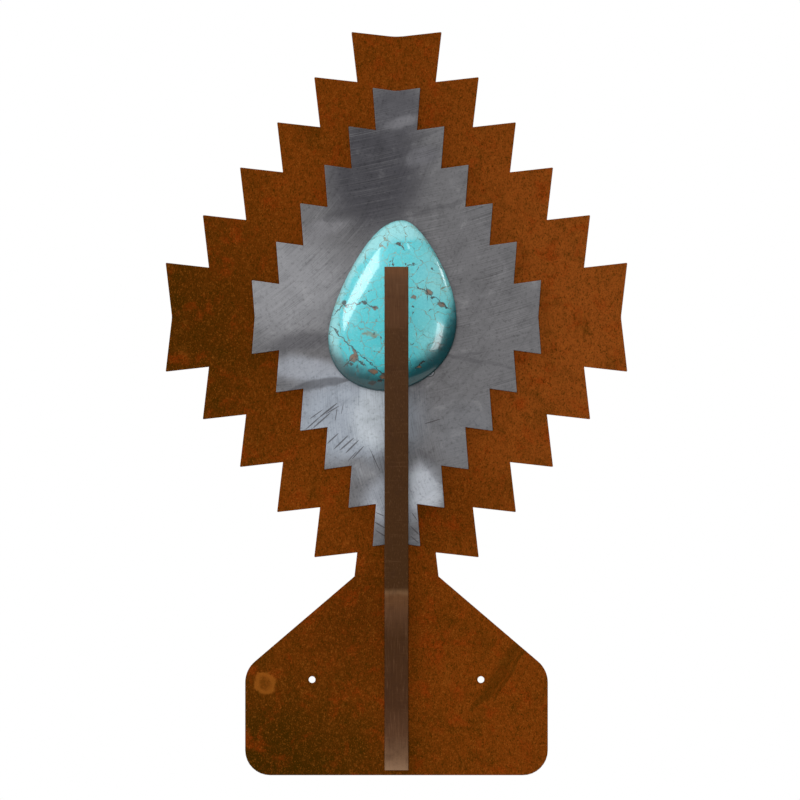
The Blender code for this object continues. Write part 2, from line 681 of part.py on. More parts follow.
def make_bushes(rotor, bronze):
    """A flanged bush in each end of the sleeve. Their bores run on the axle."""
    bore = AXLE_WIDE / 2 + RUNNING_GAP
    body = BUSH_WIDE / 2
    flange = BUSH_FLANGE_WIDE / 2
    rear_step = REAR_BUSH_BACK + BUSH_FLANGE_THICK
    rear = [(bore, REAR_BUSH_BACK), (flange, REAR_BUSH_BACK), (flange, rear_step)]
    rear += [(body, rear_step), (body, rear_step + BUSH_LONG), (bore, rear_step + BUSH_LONG)]
    front_end = FRONT_BUSH_BACK + BUSH_FLANGE_THICK
    front = [(bore, FRONT_BUSH_BACK - BUSH_LONG), (body, FRONT_BUSH_BACK - BUSH_LONG)]
    front += [(body, FRONT_BUSH_BACK), (flange, FRONT_BUSH_BACK), (flange, front_end), (bore, front_end)]
    add_object("rear_bush", turned("rear_bush", rear, closed=True), bronze, rotor)
    add_object("front_bush", turned("front_bush", front, closed=True), bronze, rotor)


def make_rotor_rivets(rotor, zinc, name, places, rear_face):
    """Rivets flush in the front of the panel, with domed heads behind."""
    dome = rear_face - GAP
    head = domed_head(dome, -1)[::-1]
    shank = RIVET_WIDE / 2
    profile = [*head, (shank, dome), *sunk_head(PANEL_FRONT, -1)[::-1]]
    mesh = turned(name, profile, SMALL_STEPS)
    for k, place in enumerate(places, 1):
        add_object(f"{name}_{k}", mesh, zinc, rotor, place)


def main():
    clear_scene()
    rust = finish("rusted_steel", (0.15, 0.045, 0.006), 0.8, 0.3)
    brushed = finish("brushed_steel", (0.33, 0.33, 0.34), 0.35, 1.0)
    bronze = finish("bronzed_steel", (0.065, 0.028, 0.013), 0.45, 0.6)
    turquoise = finish("turquoise", (0.08, 0.55, 0.6), 0.12, 0.0)
    resin = finish("black_resin", (0.015, 0.015, 0.015), 0.6, 0.0)
    steel = finish("turned_steel", (0.5, 0.5, 0.5), 0.35, 1.0)
    zinc = finish("zinc_plate", (0.55, 0.56, 0.58), 0.3, 1.0)
    bearing = finish("bearing_bronze", (0.45, 0.27, 0.1), 0.35, 1.0)
    nylon = finish("nylon", (0.75, 0.74, 0.7), 0.5, 0.0)

    frame = empty_at("frame", 0)
    make_back_plate(frame, rust)
    make_strap(frame, bronze)
    make_strap_fixings(frame, steel, zinc)
    make_axle(frame, steel)
    make_axle_boss(frame, steel)
    make_boss_rivets(frame, zinc)
    make_axle_rings(frame, nylon, steel)

    rotor = empty_at("rotor", AXLE_HEIGHT)
    stone_moment = make_stone(rotor, turquoise, resin)
    weight_places = make_balance_weight(rotor, steel, stone_moment)
    hub_places = around(HUB_RIVETS, HUB_RIVET_RADIUS, math.pi / HUB_RIVETS)
    make_panel(rotor, brushed, hub_places + weight_places)
    make_hub(rotor, steel, hub_places)
    make_bushes(rotor, bearing)
    make_rotor_rivets(rotor, zinc, "hub_rivet", hub_places, HUB_BACK)
    make_rotor_rivets(rotor, zinc, "weight_rivet", weight_places, PANEL_BACK - GAP - WEIGHT_THICK)


main()
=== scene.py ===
"""Looks of the wall-hung kinetic sculpture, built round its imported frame.

Metres, +Z up. The front faces -Y and the wall is at y = 0. A depth is a distance forward from the wall, so a
depth d lies at y = -d.
"""

import math

import bmesh
import bpy
import numpy as np
from mathutils import Matrix, Vector
from mathutils.geometry import tessellate_polygon


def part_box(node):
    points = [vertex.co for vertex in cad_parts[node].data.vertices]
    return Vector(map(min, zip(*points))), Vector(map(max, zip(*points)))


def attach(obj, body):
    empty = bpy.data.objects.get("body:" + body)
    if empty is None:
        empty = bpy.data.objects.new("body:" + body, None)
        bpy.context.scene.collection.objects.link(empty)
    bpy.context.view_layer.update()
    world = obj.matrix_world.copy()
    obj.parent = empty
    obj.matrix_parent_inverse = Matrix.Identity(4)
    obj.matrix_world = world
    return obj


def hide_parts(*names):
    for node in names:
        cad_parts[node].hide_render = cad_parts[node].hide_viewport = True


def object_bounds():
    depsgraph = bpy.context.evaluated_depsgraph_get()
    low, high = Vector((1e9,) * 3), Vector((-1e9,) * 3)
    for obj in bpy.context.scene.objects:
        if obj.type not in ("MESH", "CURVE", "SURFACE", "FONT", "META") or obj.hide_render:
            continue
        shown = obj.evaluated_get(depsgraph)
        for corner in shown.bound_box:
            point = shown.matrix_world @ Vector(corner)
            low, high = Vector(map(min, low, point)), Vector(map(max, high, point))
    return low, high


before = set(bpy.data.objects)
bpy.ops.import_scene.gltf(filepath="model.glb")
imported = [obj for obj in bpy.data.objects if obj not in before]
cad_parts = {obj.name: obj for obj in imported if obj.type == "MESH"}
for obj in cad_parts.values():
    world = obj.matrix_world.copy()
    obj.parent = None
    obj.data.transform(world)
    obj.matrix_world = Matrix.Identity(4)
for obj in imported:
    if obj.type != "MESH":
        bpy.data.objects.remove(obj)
cad_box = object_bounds()
scene = bpy.context.scene

# --------------------------------------
# Camera. A long lens, square to the wall and level with the middle of the piece, so that nothing converges.
# No cord hangs from the sculpture.
CAMERA_AWAY = 7.11
CAMERA_ASIDE = 0.0028
CAMERA_OVER_MIDDLE = 0.0029
CAMERA_LENS = 400
CAMERA_SENSOR = 36

camera = bpy.data.objects.new("camera", bpy.data.cameras.new("camera"))
camera.data.lens = CAMERA_LENS
camera.data.sensor_width = CAMERA_SENSOR
camera.location = (CAMERA_ASIDE, -CAMERA_AWAY, (cad_box[0].z + cad_box[1].z) / 2 + CAMERA_OVER_MIDDLE)
camera.rotation_euler = (math.pi / 2, 0, 0)
scene.collection.objects.link(camera)
scene.camera = camera

# --------------------------------------
# Back plate: 3 mm weathering steel, cut by laser as a stepped diamond on a foot, left to rust, and screwed to
# the wall through two holes. Countersinks in its back take the axle, the boss rivets and the bar's screws.
PLATE_TOP_HALF = 0.0361
PLATE_STEP_OUT = 0.0297
PLATE_SIDE_HALF = 0.0436
PLATE_RISES = (0.0381, 0.0381, 0.0361, 0.0361, 0.0361)
PLATE_SIDE_LEAN = 0.117
PLATE_TOP_LEAN = 0.113
PLATE_DIP = 0.056
PLATE_NOTCH = 0.020
PLATE_EDGE = 0.00035
TIP_ROUND = 0.0008
INNER_ROUND = 0.0003
FOOT_HALF = 0.121
FOOT_SHOULDER = 0.0079
FOOT_OVER_TIP = 0.0208
FOOT_SHOULDER_ROUND = 0.022
FOOT_CORNER_ROUND = 0.020
HOLE_SPACING = 0.135
HOLE_RADIUS = 0.0027
SLACK = 0.0003
BREAK = 0.0002
AXLE_RADIUS = 0.004
AXLE_HEAD = 0.0076
RIVET_RADIUS = 0.002
RIVET_HEAD = 0.0035
RIVET_SINK = 0.0014
SCREW_RADIUS = 0.002
SCREW_HEAD = 0.004
SCREW_SINK = 0.002
BOSS_RIVETS = ("boss_rivet_1", "boss_rivet_2", "boss_rivet_3")
BAR_SCREWS = ("strap_screw_upper", "strap_screw_lower")
SHARP_OVER = math.radians(40)
ANY_DEPTH = 1e3


def solid(name, points, faces):
    """One closed piece from points and faces: doubles merged, faces turned outwards, flat faces kept flat."""
    mesh = bpy.data.meshes.new(name)
    mesh.from_pydata(points.tolist(), [], faces)
    shape = bmesh.new()
    shape.from_mesh(mesh)
    bmesh.ops.remove_doubles(shape, verts=shape.verts, dist=1e-7)
    bmesh.ops.recalc_face_normals(shape, faces=shape.faces)
    shape.to_mesh(mesh)
    shape.free()
    mesh.shade_smooth()
    mesh.set_sharp_from_angle(angle=SHARP_OVER)
    piece = bpy.data.objects.new(name, mesh)
    scene.collection.objects.link(piece)
    piece.modifiers.new("flat_faces", "WEIGHTED_NORMAL").keep_sharp = True
    return piece


def fit(piece, body, slot, material, *nodes):
    """Gives a piece its finish, lets it move with its CAD body, and puts it in place of its CAD nodes."""
    piece.data.materials.append(material)
    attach(piece, body)
    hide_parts(*nodes)
    return piece


def seat(name):
    """Middle (x, z), back depth, front depth and radius of a round CAD node."""
    low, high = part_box(name)
    return ((low.x + high.x) / 2, (low.z + high.z) / 2), -high.y, -low.y, (high.x - low.x) / 2


def rounded(corners, steps=8, closed=True):
    """Rounds (x, z, radius) corners: each becomes the arc between its two tangent points.

    The tangent points lie radius / tan(half the corner's angle) from the corner, at most 0.45 of an edge off.
    """
    corners = np.array(corners, float)
    point = corners[:, :2]
    before = np.roll(point, 1, axis=0) - point
    after = np.roll(point, -1, axis=0) - point
    before_long = np.linalg.norm(before, axis=1)
    after_long = np.linalg.norm(after, axis=1)
    before /= before_long[:, None]
    after /= after_long[:, None]
    half_angle = np.arccos(np.clip((before * after).sum(axis=1), -1, 1)) / 2
    reach = np.minimum(corners[:, 2] / np.tan(half_angle), 0.45 * np.minimum(before_long, after_long))
    middle = before + after
    middle /= np.linalg.norm(middle, axis=1)[:, None]
    centre = point + middle * (reach / np.cos(half_angle))[:, None]
    start = point + before * reach[:, None] - centre
    end = point + after * reach[:, None] - centre
    turn = (math.pi - 2 * half_angle)[:, None, None]
    share = np.linspace(0, 1, steps + 1)[None, :, None]
    swing = (np.sin((1 - share) * turn) * start[:, None] + np.sin(share * turn) * end[:, None]) / np.sin(turn)
    arcs = centre[:, None] + swing
    if closed:
        return arcs.reshape(-1, 2)
    return np.concatenate([point[:1], arcs[1:-1].reshape(-1, 2), point[-1:]])


def stepped_side(side_half, rises, top_half, step_out, side_lean, top_lean):
    """Corners of a stepped diamond's upper right edge, from its side notch up to its top dip.

    Each step is a block whose side leans in towards the notch and whose top leans down towards the dip. Outer
    corners step evenly in and up. An inner corner is where a block's top meets the side of the block above.
    """
    steps = len(rises)
    halves = top_half + (steps - np.arange(steps + 1)) * step_out
    heights = side_half + np.concatenate([[0], np.cumsum(rises)])
    fall = top_lean * (halves[:-1] - halves[1:]) + top_lean * side_lean * (heights[1:] - heights[:-1])
    inner_high = heights[:-1] - fall / (1 - top_lean * side_lean)
    inner_half = halves[1:] - side_lean * (heights[1:] - inner_high)
    side = np.empty((2 * steps + 1, 3))
    side[0::2] = np.stack([halves, heights, np.full(steps + 1, TIP_ROUND)], axis=1)
    side[1::2] = np.stack([inner_half, inner_high, np.full(steps, INNER_ROUND)], axis=1)
    return side


def mirrored(corners, x_sign, z_sign):
    """The same corners mirrored, and turned end for end where that keeps the outline running one way."""
    flipped = corners * (x_sign, z_sign, 1)
    return flipped[::-1] if x_sign * z_sign < 0 else flipped


def rim_rings(outline, profile):
    """(inset, depth) pairs carried round a closed outline: a point moves in along the mitre of its edges."""
    ahead = np.roll(outline, -1, axis=0) - outline
    ahead /= np.linalg.norm(ahead, axis=1)[:, None]
    outward = np.stack([ahead[:, 1], -ahead[:, 0]], axis=1)
    behind = np.roll(outward, 1, axis=0)
    mitre = (outward + behind) / (1 + (outward * behind).sum(axis=1))[:, None]
    inset, depth = np.array(profile).T[:, :, None]
    flat = outline - inset[..., None] * mitre
    return np.stack([flat[..., 0], -depth + 0 * flat[..., 0], flat[..., 1]], axis=-1)


def turned_rings(place, profile, count=48):
    """(radius, depth) pairs turned about a line through place: x and z go round as sine and cosine."""
    angle = np.arange(count) * 2 * math.pi / count
    radius, depth = np.array(profile, float).T[:, :, None]
    x = place[0] + radius * np.sin(angle)
    return np.stack([x, -depth + 0 * x, place[1] + radius * np.cos(angle)], axis=-1)


def grid_faces(rows, columns, first=0, wrap=False):
    """Four-cornered faces between neighbouring points of a grid whose columns close on themselves."""
    row = np.arange(rows if wrap else rows - 1)[:, None]
    column = np.arange(columns)[None, :]
    after = (column + 1) % columns
    above = (row + 1) % rows
    here, over_it = row * columns, above * columns
    corners = [here + column, here + after, over_it + after, over_it + column]
    return (np.stack(corners, axis=-1).reshape(-1, 4) + first).tolist()


def eased(back, front, edge, steps=3):
    """(inset, depth) pairs of a plate's edge between two depths: quarter round, wall, quarter round."""
    angle = np.linspace(0, math.pi / 2, steps + 1)
    inset = edge * (1 - np.sin(angle))
    depth = back + edge * (1 - np.cos(angle))
    return np.concatenate([np.stack([inset, depth], 1), np.stack([inset, back + front - depth], 1)[::-1]])


def cut_sheet(name, loops):
    """A flat piece from its rim's and holes' rings, with a flat face across their first and their last."""
    sizes = [loop.shape[0] * loop.shape[1] for loop in loops]
    firsts = np.cumsum([0, *sizes[:-1]])
    faces = []
    for loop, first in zip(loops, firsts):
        faces += grid_faces(loop.shape[0], loop.shape[1], first)
    for end in (0, -1):
        starts = [first + end % loop.shape[0] * loop.shape[1] for loop, first in zip(loops, firsts)]
        index = np.concatenate([start + np.arange(loop.shape[1]) for loop, start in zip(loops, starts)])
        flat = [[Vector((x, z, 0)) for x, _, z in loop[end].tolist()] for loop in loops]
        faces += index[np.array(tessellate_polygon(flat))].tolist()
    return solid(name, np.concatenate([loop.reshape(-1, 3) for loop in loops]), faces)


def drilled(radius, back, front):
    """(radius, depth) pairs of a plain hole whose two edges are broken."""
    return [(radius + BREAK, back), (radius, back + BREAK), (radius, front - BREAK), (radius + BREAK, front)]


def sunk(head, radius, sink, front):
    """(radius, depth) pairs of a hole countersunk from the wall side."""
    bore = radius + SLACK
    return [(head + SLACK, 0), (bore, sink), (bore, front - BREAK), (bore + BREAK, front)]


def holes(nodes, profile):
    """Rings of one (radius, depth) profile at the place of each CAD node."""
    return [turned_rings(seat(name)[0], profile, 32) for name in nodes]


def paint(red, green, blue):
    """A colour given from 0 to 255 as linear light: ((c + 0.055) / 1.055) ** 2.4, or c / 12.92 near black."""
    c = np.array((red, green, blue)) / 255
    return (*np.where(c > 0.04045, ((c + 0.055) / 1.055) ** 2.4, c / 12.92).tolist(), 1.0)


def node(tree, kind, feeds=(), **settings):
    """Adds a shader node, sets its options, and feeds its inputs with values or other nodes' outputs."""
    made = tree.nodes.new("ShaderNode" + kind)
    for name, value in settings.items():
        setattr(made, name, value)
    for key, value in dict(feeds).items():
        if isinstance(value, bpy.types.NodeSocket):
            tree.links.new(value, made.inputs[key])
        else:
            made.inputs[key].default_value = value
    return made


def maths(tree, operation, *values, clamp=False):
    """The result of one operation on numbers."""
    return node(tree, "Math", enumerate(values), operation=operation, use_clamp=clamp).outputs[0]


def vectors(tree, operation, *values):
    """The result of one operation on vectors, which is a number for a length, a distance or a dot product."""
    made = node(tree, "VectorMath", enumerate(values), operation=operation)
    return made.outputs["Value" if operation in ("LENGTH", "DOT_PRODUCT", "DISTANCE") else "Vector"]


def spread(tree, value, low, high, to_low=0.0, to_high=1.0):
    """Eases a value from one range to another, held at both ends."""
    feeds = {"Value": value, "From Min": low, "From Max": high, "To Min": to_low, "To Max": to_high}
    return node(tree, "MapRange", feeds, interpolation_type="SMOOTHSTEP").outputs[0]


def noise(tree, vector, scale, detail=2.0, rough=0.5, warp=0.0):
    """Cloudy noise, mostly from 0.25 to 0.75, with so many lumps to the metre."""
    feeds = {"Vector": vector, "Scale": scale, "Detail": detail, "Roughness": rough, "Distortion": warp}
    return node(tree, "TexNoise", feeds).outputs[0]


def stretched(tree, vector, x, y, z):
    """Coordinates scaled along each axis."""
    return vectors(tree, "MULTIPLY", vector, (x, y, z))


def over(tree, mask, below, above, mode="MIX"):
    """Lays a colour over another where the mask says."""
    return node(tree, "Mix", {0: mask, 6: below, 7: above}, data_type="RGBA", blend_type=mode).outputs[2]


def bumped(tree, height, deep, below=None):
    """A normal that a height from 0 to 1 lifts by so many metres, over another normal if one is given."""
    feeds = {"Height": height, "Distance": deep, "Strength": 1.0}
    if below:
        feeds["Normal"] = below
    return node(tree, "Bump", feeds).outputs[0]


def new_group(name, inputs, output):
    """Starts a node group with named inputs and one output. Returns its tree, inputs and output node."""
    tree = bpy.data.node_groups.new(name, "ShaderNodeTree")
    for key, kind in inputs.items():
        tree.interface.new_socket(name=key, in_out="INPUT", socket_type="NodeSocket" + kind)
    tree.interface.new_socket(name=output, in_out="OUTPUT", socket_type="NodeSocketFloat")
    return tree, tree.nodes.new("NodeGroupInput").outputs, tree.nodes.new("NodeGroupOutput")


def placed(tree, group, **feeds):
    """Puts a node group in a tree and feeds its inputs by their names in small letters."""
    feeds = {key.capitalize(): value for key, value in feeds.items()}
    return node(tree, "Group", feeds, node_tree=group).outputs[0]


def new_finish(name, metallic=0.0, specular=0.5):
    """A material with its tree, its Principled shader, and the piece's own coordinates in metres."""
    material = bpy.data.materials.new(name)
    material.use_nodes = True
    tree = material.node_tree
    shader = tree.nodes["Principled BSDF"]
    shader.inputs["Metallic"].default_value = metallic
    shader.inputs["Specular IOR Level"].default_value = specular
    return material, tree, shader, node(tree, "TexCoord").outputs["Object"]


def strayed(tree, vector, scale, reach, detail=3.0, rough=0.5):
    """Coordinates that stray by up to half the reach each way, so that a mark's outline wanders."""
    feeds = {"Vector": vector, "Scale": scale, "Detail": detail, "Roughness": rough}
    stray = node(tree, "TexNoise", feeds).outputs[1]
    return vectors(tree, "MULTIPLY_ADD", stray, (reach,) * 3, vectors(tree, "ADD", vector, (-reach / 2,) * 3))


def oval(tree, vector, middle, half_sizes, turn=0, origin=(0, 0)):
    """Mask of a soft oval: its middle (x, z) from an origin, its half-sizes, and its turn in degrees."""
    centre = (origin[0] + middle[0], 0, origin[1] + middle[1])
    size = (half_sizes[0], ANY_DEPTH, half_sizes[1])
    return placed(tree, soft_oval, vector=vector, centre=centre, size=size, turn=math.radians(turn))


def line(tree, vector, start, end, width, origin=(0, 0)):
    """Mask of a line: its ends (x, z) from an origin, and its width."""
    start, end = [(origin[0] + x, 0, origin[1] + z) for x, z in (start, end)]
    return placed(tree, line_mark, vector=vector, start=start, end=end, width=width)


def layered(tree, colour, *layers):
    """Lays each (mask, low, high, share, shade) over a colour: none at low, easing to its share at high."""
    for mask, low, high, share, shade, *mode in layers:
        colour = over(tree, spread(tree, mask, low, high, 0, share), colour, shade, *mode)
    return colour


def edged(tree, colour, width, share, shade):
    """Lays a share of a shade over a colour along a piece's edges."""
    return over(tree, maths(tree, "MULTIPLY", placed(tree, edge_wear, width=width), share), colour, shade)


def finished(tree, shader, colour, mask, rough, normal):
    """Feeds a shader its colour, a roughness that eases between two values with a mask, and its normal."""
    tree.links.new(colour, shader.inputs["Base Color"])
    tree.links.new(spread(tree, mask, 0.3, 0.7, *rough), shader.inputs["Roughness"])
    tree.links.new(normal, shader.inputs["Normal"])


# A soft oval on the x-z plane: 1 at its centre, easing to 0 at its edge.
soft_oval, given, result = new_group(
    "soft_oval", {"Vector": "Vector", "Centre": "Vector", "Size": "Vector", "Turn": "Float"}, "Mask"
)
offset = vectors(soft_oval, "SUBTRACT", given["Vector"], given["Centre"])
turned = node(soft_oval, "VectorRotate", {"Vector": offset, "Angle": given["Turn"]}, rotation_type="Y_AXIS")
reach = vectors(soft_oval, "LENGTH", vectors(soft_oval, "DIVIDE", turned.outputs[0], given["Size"]))
soft_oval.links.new(spread(soft_oval, reach, 1.0, 0.0), result.inputs[0])

# A line on the x-z plane from start to end, widest in its middle, with soft sides.
line_mark, given, result = new_group(
    "line_mark", {"Vector": "Vector", "Start": "Vector", "End": "Vector", "Width": "Float"}, "Mask"
)
flat = stretched(line_mark, given["Vector"], 1, 0, 1)
run = vectors(line_mark, "SUBTRACT", given["End"], given["Start"])
gone = vectors(line_mark, "SUBTRACT", flat, given["Start"])
run_square = vectors(line_mark, "DOT_PRODUCT", run, run)
along = maths(line_mark, "DIVIDE", vectors(line_mark, "DOT_PRODUCT", gone, run), run_square, clamp=True)
scaled = node(line_mark, "VectorMath", {0: run, "Scale": along}, operation="SCALE").outputs[0]
aside = vectors(line_mark, "DISTANCE", gone, scaled)
ends = maths(line_mark, "ABSOLUTE", maths(line_mark, "MULTIPLY_ADD", along, 2.0, -1.0))
swell = maths(line_mark, "SUBTRACT", 1.0, maths(line_mark, "POWER", ends, 3.0))
half = maths(line_mark, "MULTIPLY", given["Width"], maths(line_mark, "MULTIPLY_ADD", swell, 0.4, 0.15))
nearness = maths(line_mark, "DIVIDE", aside, half)
line_mark.links.new(spread(line_mark, nearness, 1.4, 0.6), result.inputs[0])

# Edges: how far a rounded normal turns from the true one, so 1 on an edge and 0 on a flat.
edge_wear, given, result = new_group("edge_wear", {"Width": "Float"}, "Mask")
eased_normal = node(edge_wear, "Bevel", {"Radius": given["Width"]}, samples=6).outputs[0]
true_normal = node(edge_wear, "NewGeometry").outputs["Normal"]
likeness = vectors(edge_wear, "DOT_PRODUCT", eased_normal, true_normal)
edge_wear.links.new(spread(edge_wear, likeness, 0.995, 0.8), result.inputs[0])

RUST_BASE = paint(110, 51, 7)
RUST_DARK = paint(48, 32, 0)
RUST_RED = paint(126, 46, 6)
RUST_BRIGHT = paint(148, 84, 26)
RUST_EDGE = paint(46, 24, 4)
# Middle, half-sizes, turn in degrees and colour of each broad area
RUST_AREAS = (
    ((0.13, 0.30), (0.26, 0.26), 0, paint(130, 65, 20)),
    ((-0.17, 0.27), (0.14, 0.20), 0, paint(72, 36, 1)),
    ((-0.10, -0.07), (0.20, 0.14), -12, paint(58, 32, 0)),
    ((-0.03, 0.05), (0.10, 0.09), 0, paint(84, 38, 3)),
    ((0.03, 0.135), (0.10, 0.05), 0, paint(96, 44, 5)),
)
# A darker wedge, which is a painted shadow, and a scratch on the foot's right shoulder: start, end, width and
# share. Then a pale ring dried on at its left: middle and half-sizes.
FOOT_SHADOW_AND_SCRATCH = (
    ((0.1072, 0.0380), (0.0600, -0.0240), 0.0095, 0.45),
    ((0.1074, 0.0240), (0.0760, -0.0150), 0.0034, 0.45),
)
RUST_RING = ((-0.1052, -0.0028), (0.0115, 0.0125))

rust, tree, shader, spot = new_finish("rusted_steel", specular=0.02)
drift = strayed(tree, spot, 30.0, 0.02)
clouds = noise(tree, spot, 38, 6, 0.66, 0.5)
blush = noise(tree, vectors(tree, "ADD", spot, (3.0, 1.0, 5.0)), 52, 5, 0.66, 0.4)
upright = stretched(tree, spot, 1, 1, 0.7)
fine = noise(tree, upright, 1100, 2, 0.65)
coarse = noise(tree, upright, 480, 3, 0.65)
fleck = noise(tree, spot, 230, 2, 0.5)
colour = RUST_BASE
for middle, half_sizes, turn, shade in RUST_AREAS:
    colour = over(tree, oval(tree, drift, middle, half_sizes, turn), colour, shade)
colour = layered(
    tree,
    colour,
    (clouds, 0.52, 0.28, 0.5, RUST_DARK),
    (blush, 0.5, 0.7, 0.65, RUST_RED),
    (clouds, 0.58, 0.78, 0.25, RUST_BRIGHT),
    (coarse, 0.5, 0.26, 0.6, RUST_DARK),
    (coarse, 0.54, 0.78, 0.4, RUST_BRIGHT),
    (fine, 0.5, 0.25, 0.85, RUST_DARK),
    (fine, 0.54, 0.78, 0.6, RUST_BRIGHT),
    (fleck, 0.74, 0.82, 0.3, RUST_BRIGHT),
)
on_front = spread(tree, node(tree, "SeparateXYZ", {0: spot}).outputs[1], -0.001, -0.002)
# Painted shadow and a scratch on the foot, on its front face only.
for start, end, width, share in FOOT_SHADOW_AND_SCRATCH:
    mark = line(tree, drift, start, end, width)
    share = maths(tree, "MULTIPLY", on_front, share)
    colour = over(tree, maths(tree, "MULTIPLY", mark, share), colour, RUST_DARK)
dried = oval(tree, strayed(tree, spot, 240.0, 0.006), *RUST_RING)
inside = spread(tree, dried, 0.85, 0.4, 0.35, 1)
ring = maths(tree, "MULTIPLY", spread(tree, dried, 0.05, 0.3, 0, 0.6), inside)
colour = over(tree, maths(tree, "MULTIPLY", ring, on_front), colour, RUST_BRIGHT)
colour = edged(tree, colour, 0.0008, 0.75, RUST_EDGE)
scale = bumped(tree, fine, 0.00008, bumped(tree, coarse, 0.00018))
finished(tree, shader, colour, coarse, (0.92, 0.72), scale)

axle = seat("axle")[0]
plate_low, plate_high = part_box("back_plate")
plate_front = -plate_low.y
side = stepped_side(
    PLATE_SIDE_HALF, PLATE_RISES, PLATE_TOP_HALF, PLATE_STEP_OUT, PLATE_SIDE_LEAN, PLATE_TOP_LEAN
)
notch = side[0, 0] - PLATE_SIDE_LEAN * side[0, 1]
dip = side[-1, 1] - PLATE_TOP_LEAN * side[-1, 0]
neck = (side[-1, 0] - PLATE_SIDE_LEAN * FOOT_OVER_TIP, side[-1, 1] - FOOT_OVER_TIP, INNER_ROUND)
low_side = np.concatenate([side[:-1], [neck]])
foot = [(FOOT_HALF, plate_low.z - axle[1], FOOT_CORNER_ROUND)]
foot = np.array([*foot, (FOOT_HALF, FOOT_SHOULDER - axle[1], FOOT_SHOULDER_ROUND)])
corners = [[(notch, 0, PLATE_NOTCH)], side, [(0, dip, PLATE_DIP)], mirrored(side, -1, 1)]
corners += [[(-notch, 0, PLATE_NOTCH)], mirrored(low_side, -1, -1), mirrored(foot, -1, 1), foot]
corners += [mirrored(low_side, 1, -1)]
outline = rounded(np.concatenate(corners)) + axle
loops = [rim_rings(outline, eased(0, plate_front, PLATE_EDGE))]
for x in (-HOLE_SPACING / 2, HOLE_SPACING / 2):
    loops.append(turned_rings((x, 0), drilled(HOLE_RADIUS, 0, plate_front)))
loops.append(turned_rings(axle, [(AXLE_HEAD + SLACK, 0), (AXLE_RADIUS + SLACK, plate_front)]))
loops += holes(BOSS_RIVETS, sunk(RIVET_HEAD, RIVET_RADIUS, RIVET_SINK, plate_front))
loops += holes(BAR_SCREWS, sunk(SCREW_HEAD, SCREW_RADIUS, SCREW_SINK, plate_front))
fit(cut_sheet("rusted_plate", loops), "frame", "weathering_steel", rust, "back_plate")

# --------------------------------------
# Bar: 3/4 in by 3/16 in flat steel bar with a brown bronzed finish, bent at a crease over the foot and again
# below the axle, so that it passes in front of the turning diamond. Blind holes in its back take its screws
# and the axle's end. Its colour is painted lighter at the bottom bend, along the crease and towards the top
# end, as painted light on the bends, with painted shade between them.
BAR_THICK = 0.0048
BAR_EDGE = 0.0003
BAR_CORNER = 0.0007
BAR_BEND_ROUND = 0.0074
BAR_BEND_BELOW_AXLE = 0.009
BAR_CREASE_BELOW_SWEEP = 0.0355
SPIGOT_RADIUS = 0.003
CUT_PAST = 0.001
PANEL_TOP_HALF = 0.0190
# Height, then the colour there, which paints the bar's light and shade
BAR_LIGHT_AND_SHADE = (
    (-0.072, paint(132, 102, 78)),
    (-0.062, paint(104, 76, 55)),
    (-0.044, paint(80, 52, 33)),
    (-0.018, paint(62, 36, 17)),
    (0.033, paint(60, 35, 14)),
    (0.053, paint(78, 50, 30)),
    (0.0665, paint(90, 58, 33)),
    (0.0700, paint(108, 78, 52)),
    (0.0735, paint(65, 40, 18)),
    (0.176, paint(66, 41, 20)),
    (0.276, paint(74, 48, 28)),
    (0.288, paint(78, 50, 30)),
    (0.318, paint(84, 56, 36)),
    (0.3285, paint(100, 66, 42)),
)


def bored(piece, cutters):
    """Cuts closed shapes out of a piece for good, and clears them away."""
    piece.modifiers.clear()
    for cutter in cutters:
        cut = piece.modifiers.new(cutter.name, "BOOLEAN")
        cut.solver = "EXACT"
        cut.object = cutter
    made = bpy.data.meshes.new_from_object(piece.evaluated_get(bpy.context.evaluated_depsgraph_get()))
    piece.modifiers.clear()
    piece.data = made
    for cutter in cutters:
        bpy.data.objects.remove(cutter)
    made.shade_smooth()
    made.set_sharp_from_angle(angle=SHARP_OVER)
    piece.modifiers.new("flat_faces", "WEIGHTED_NORMAL").keep_sharp = True


def turned_piece(name, place, profile, hollow=False, count=48):
    """A round piece: (radius, depth) pairs turned about a line. A hollow one's profile closes on itself."""
    rings = turned_rings(place, profile, count)
    return solid(name, rings.reshape(-1, 3), grid_faces(len(rings), count, wrap=hollow))


def plug(name, place, radius, back, front):
    """A plain round cutter between two depths."""
    return turned_piece(name, place, [(0, back), (radius, back), (radius, front), (0, front)], count=32)


def bent_bar(name, path, section, edge, steps=3):
    """A bar: a closed (across, forward) section carried along a (depth, height) path, with rounded ends.

    A point lies at path + forward x the path's normal. At an end the section draws in like a quarter round.
    """
    along = np.gradient(path, axis=0)
    along[0], along[-1] = path[1] - path[0], path[-1] - path[-2]
    along /= np.linalg.norm(along, axis=1)[:, None]
    angle = np.linspace(0, math.pi / 2, steps + 1)
    draw_in = edge * (1 - np.sin(angle))
    back_off = edge * (1 - np.cos(angle))
    first = path[0] + back_off[:, None] * along[0]
    last = path[-1] - back_off[::-1, None] * along[-1]
    stations = np.concatenate([first, path[1:-1], last])
    first_heading, last_heading = [np.tile(heading, (steps + 1, 1)) for heading in (along[0], along[-1])]
    headings = np.concatenate([first_heading, along[1:-1], last_heading])
    insets = np.concatenate([draw_in, np.zeros(len(path) - 2), draw_in[::-1]])
    rings = rim_rings(section, np.stack([insets, 0 * insets], axis=1))
    across, forward = rings[..., 0], rings[..., 2]
    depth = stations[:, None, 0] + forward * headings[:, None, 1]
    height = stations[:, None, 1] - forward * headings[:, None, 0]
    points = np.stack([across, -depth, height], axis=-1)
    rows, columns = points.shape[:2]
    faces = grid_faces(rows, columns)
    faces += [list(range(columns)), list(range((rows - 1) * columns, rows * columns))]
    return solid(name, points.reshape(-1, 3), faces)


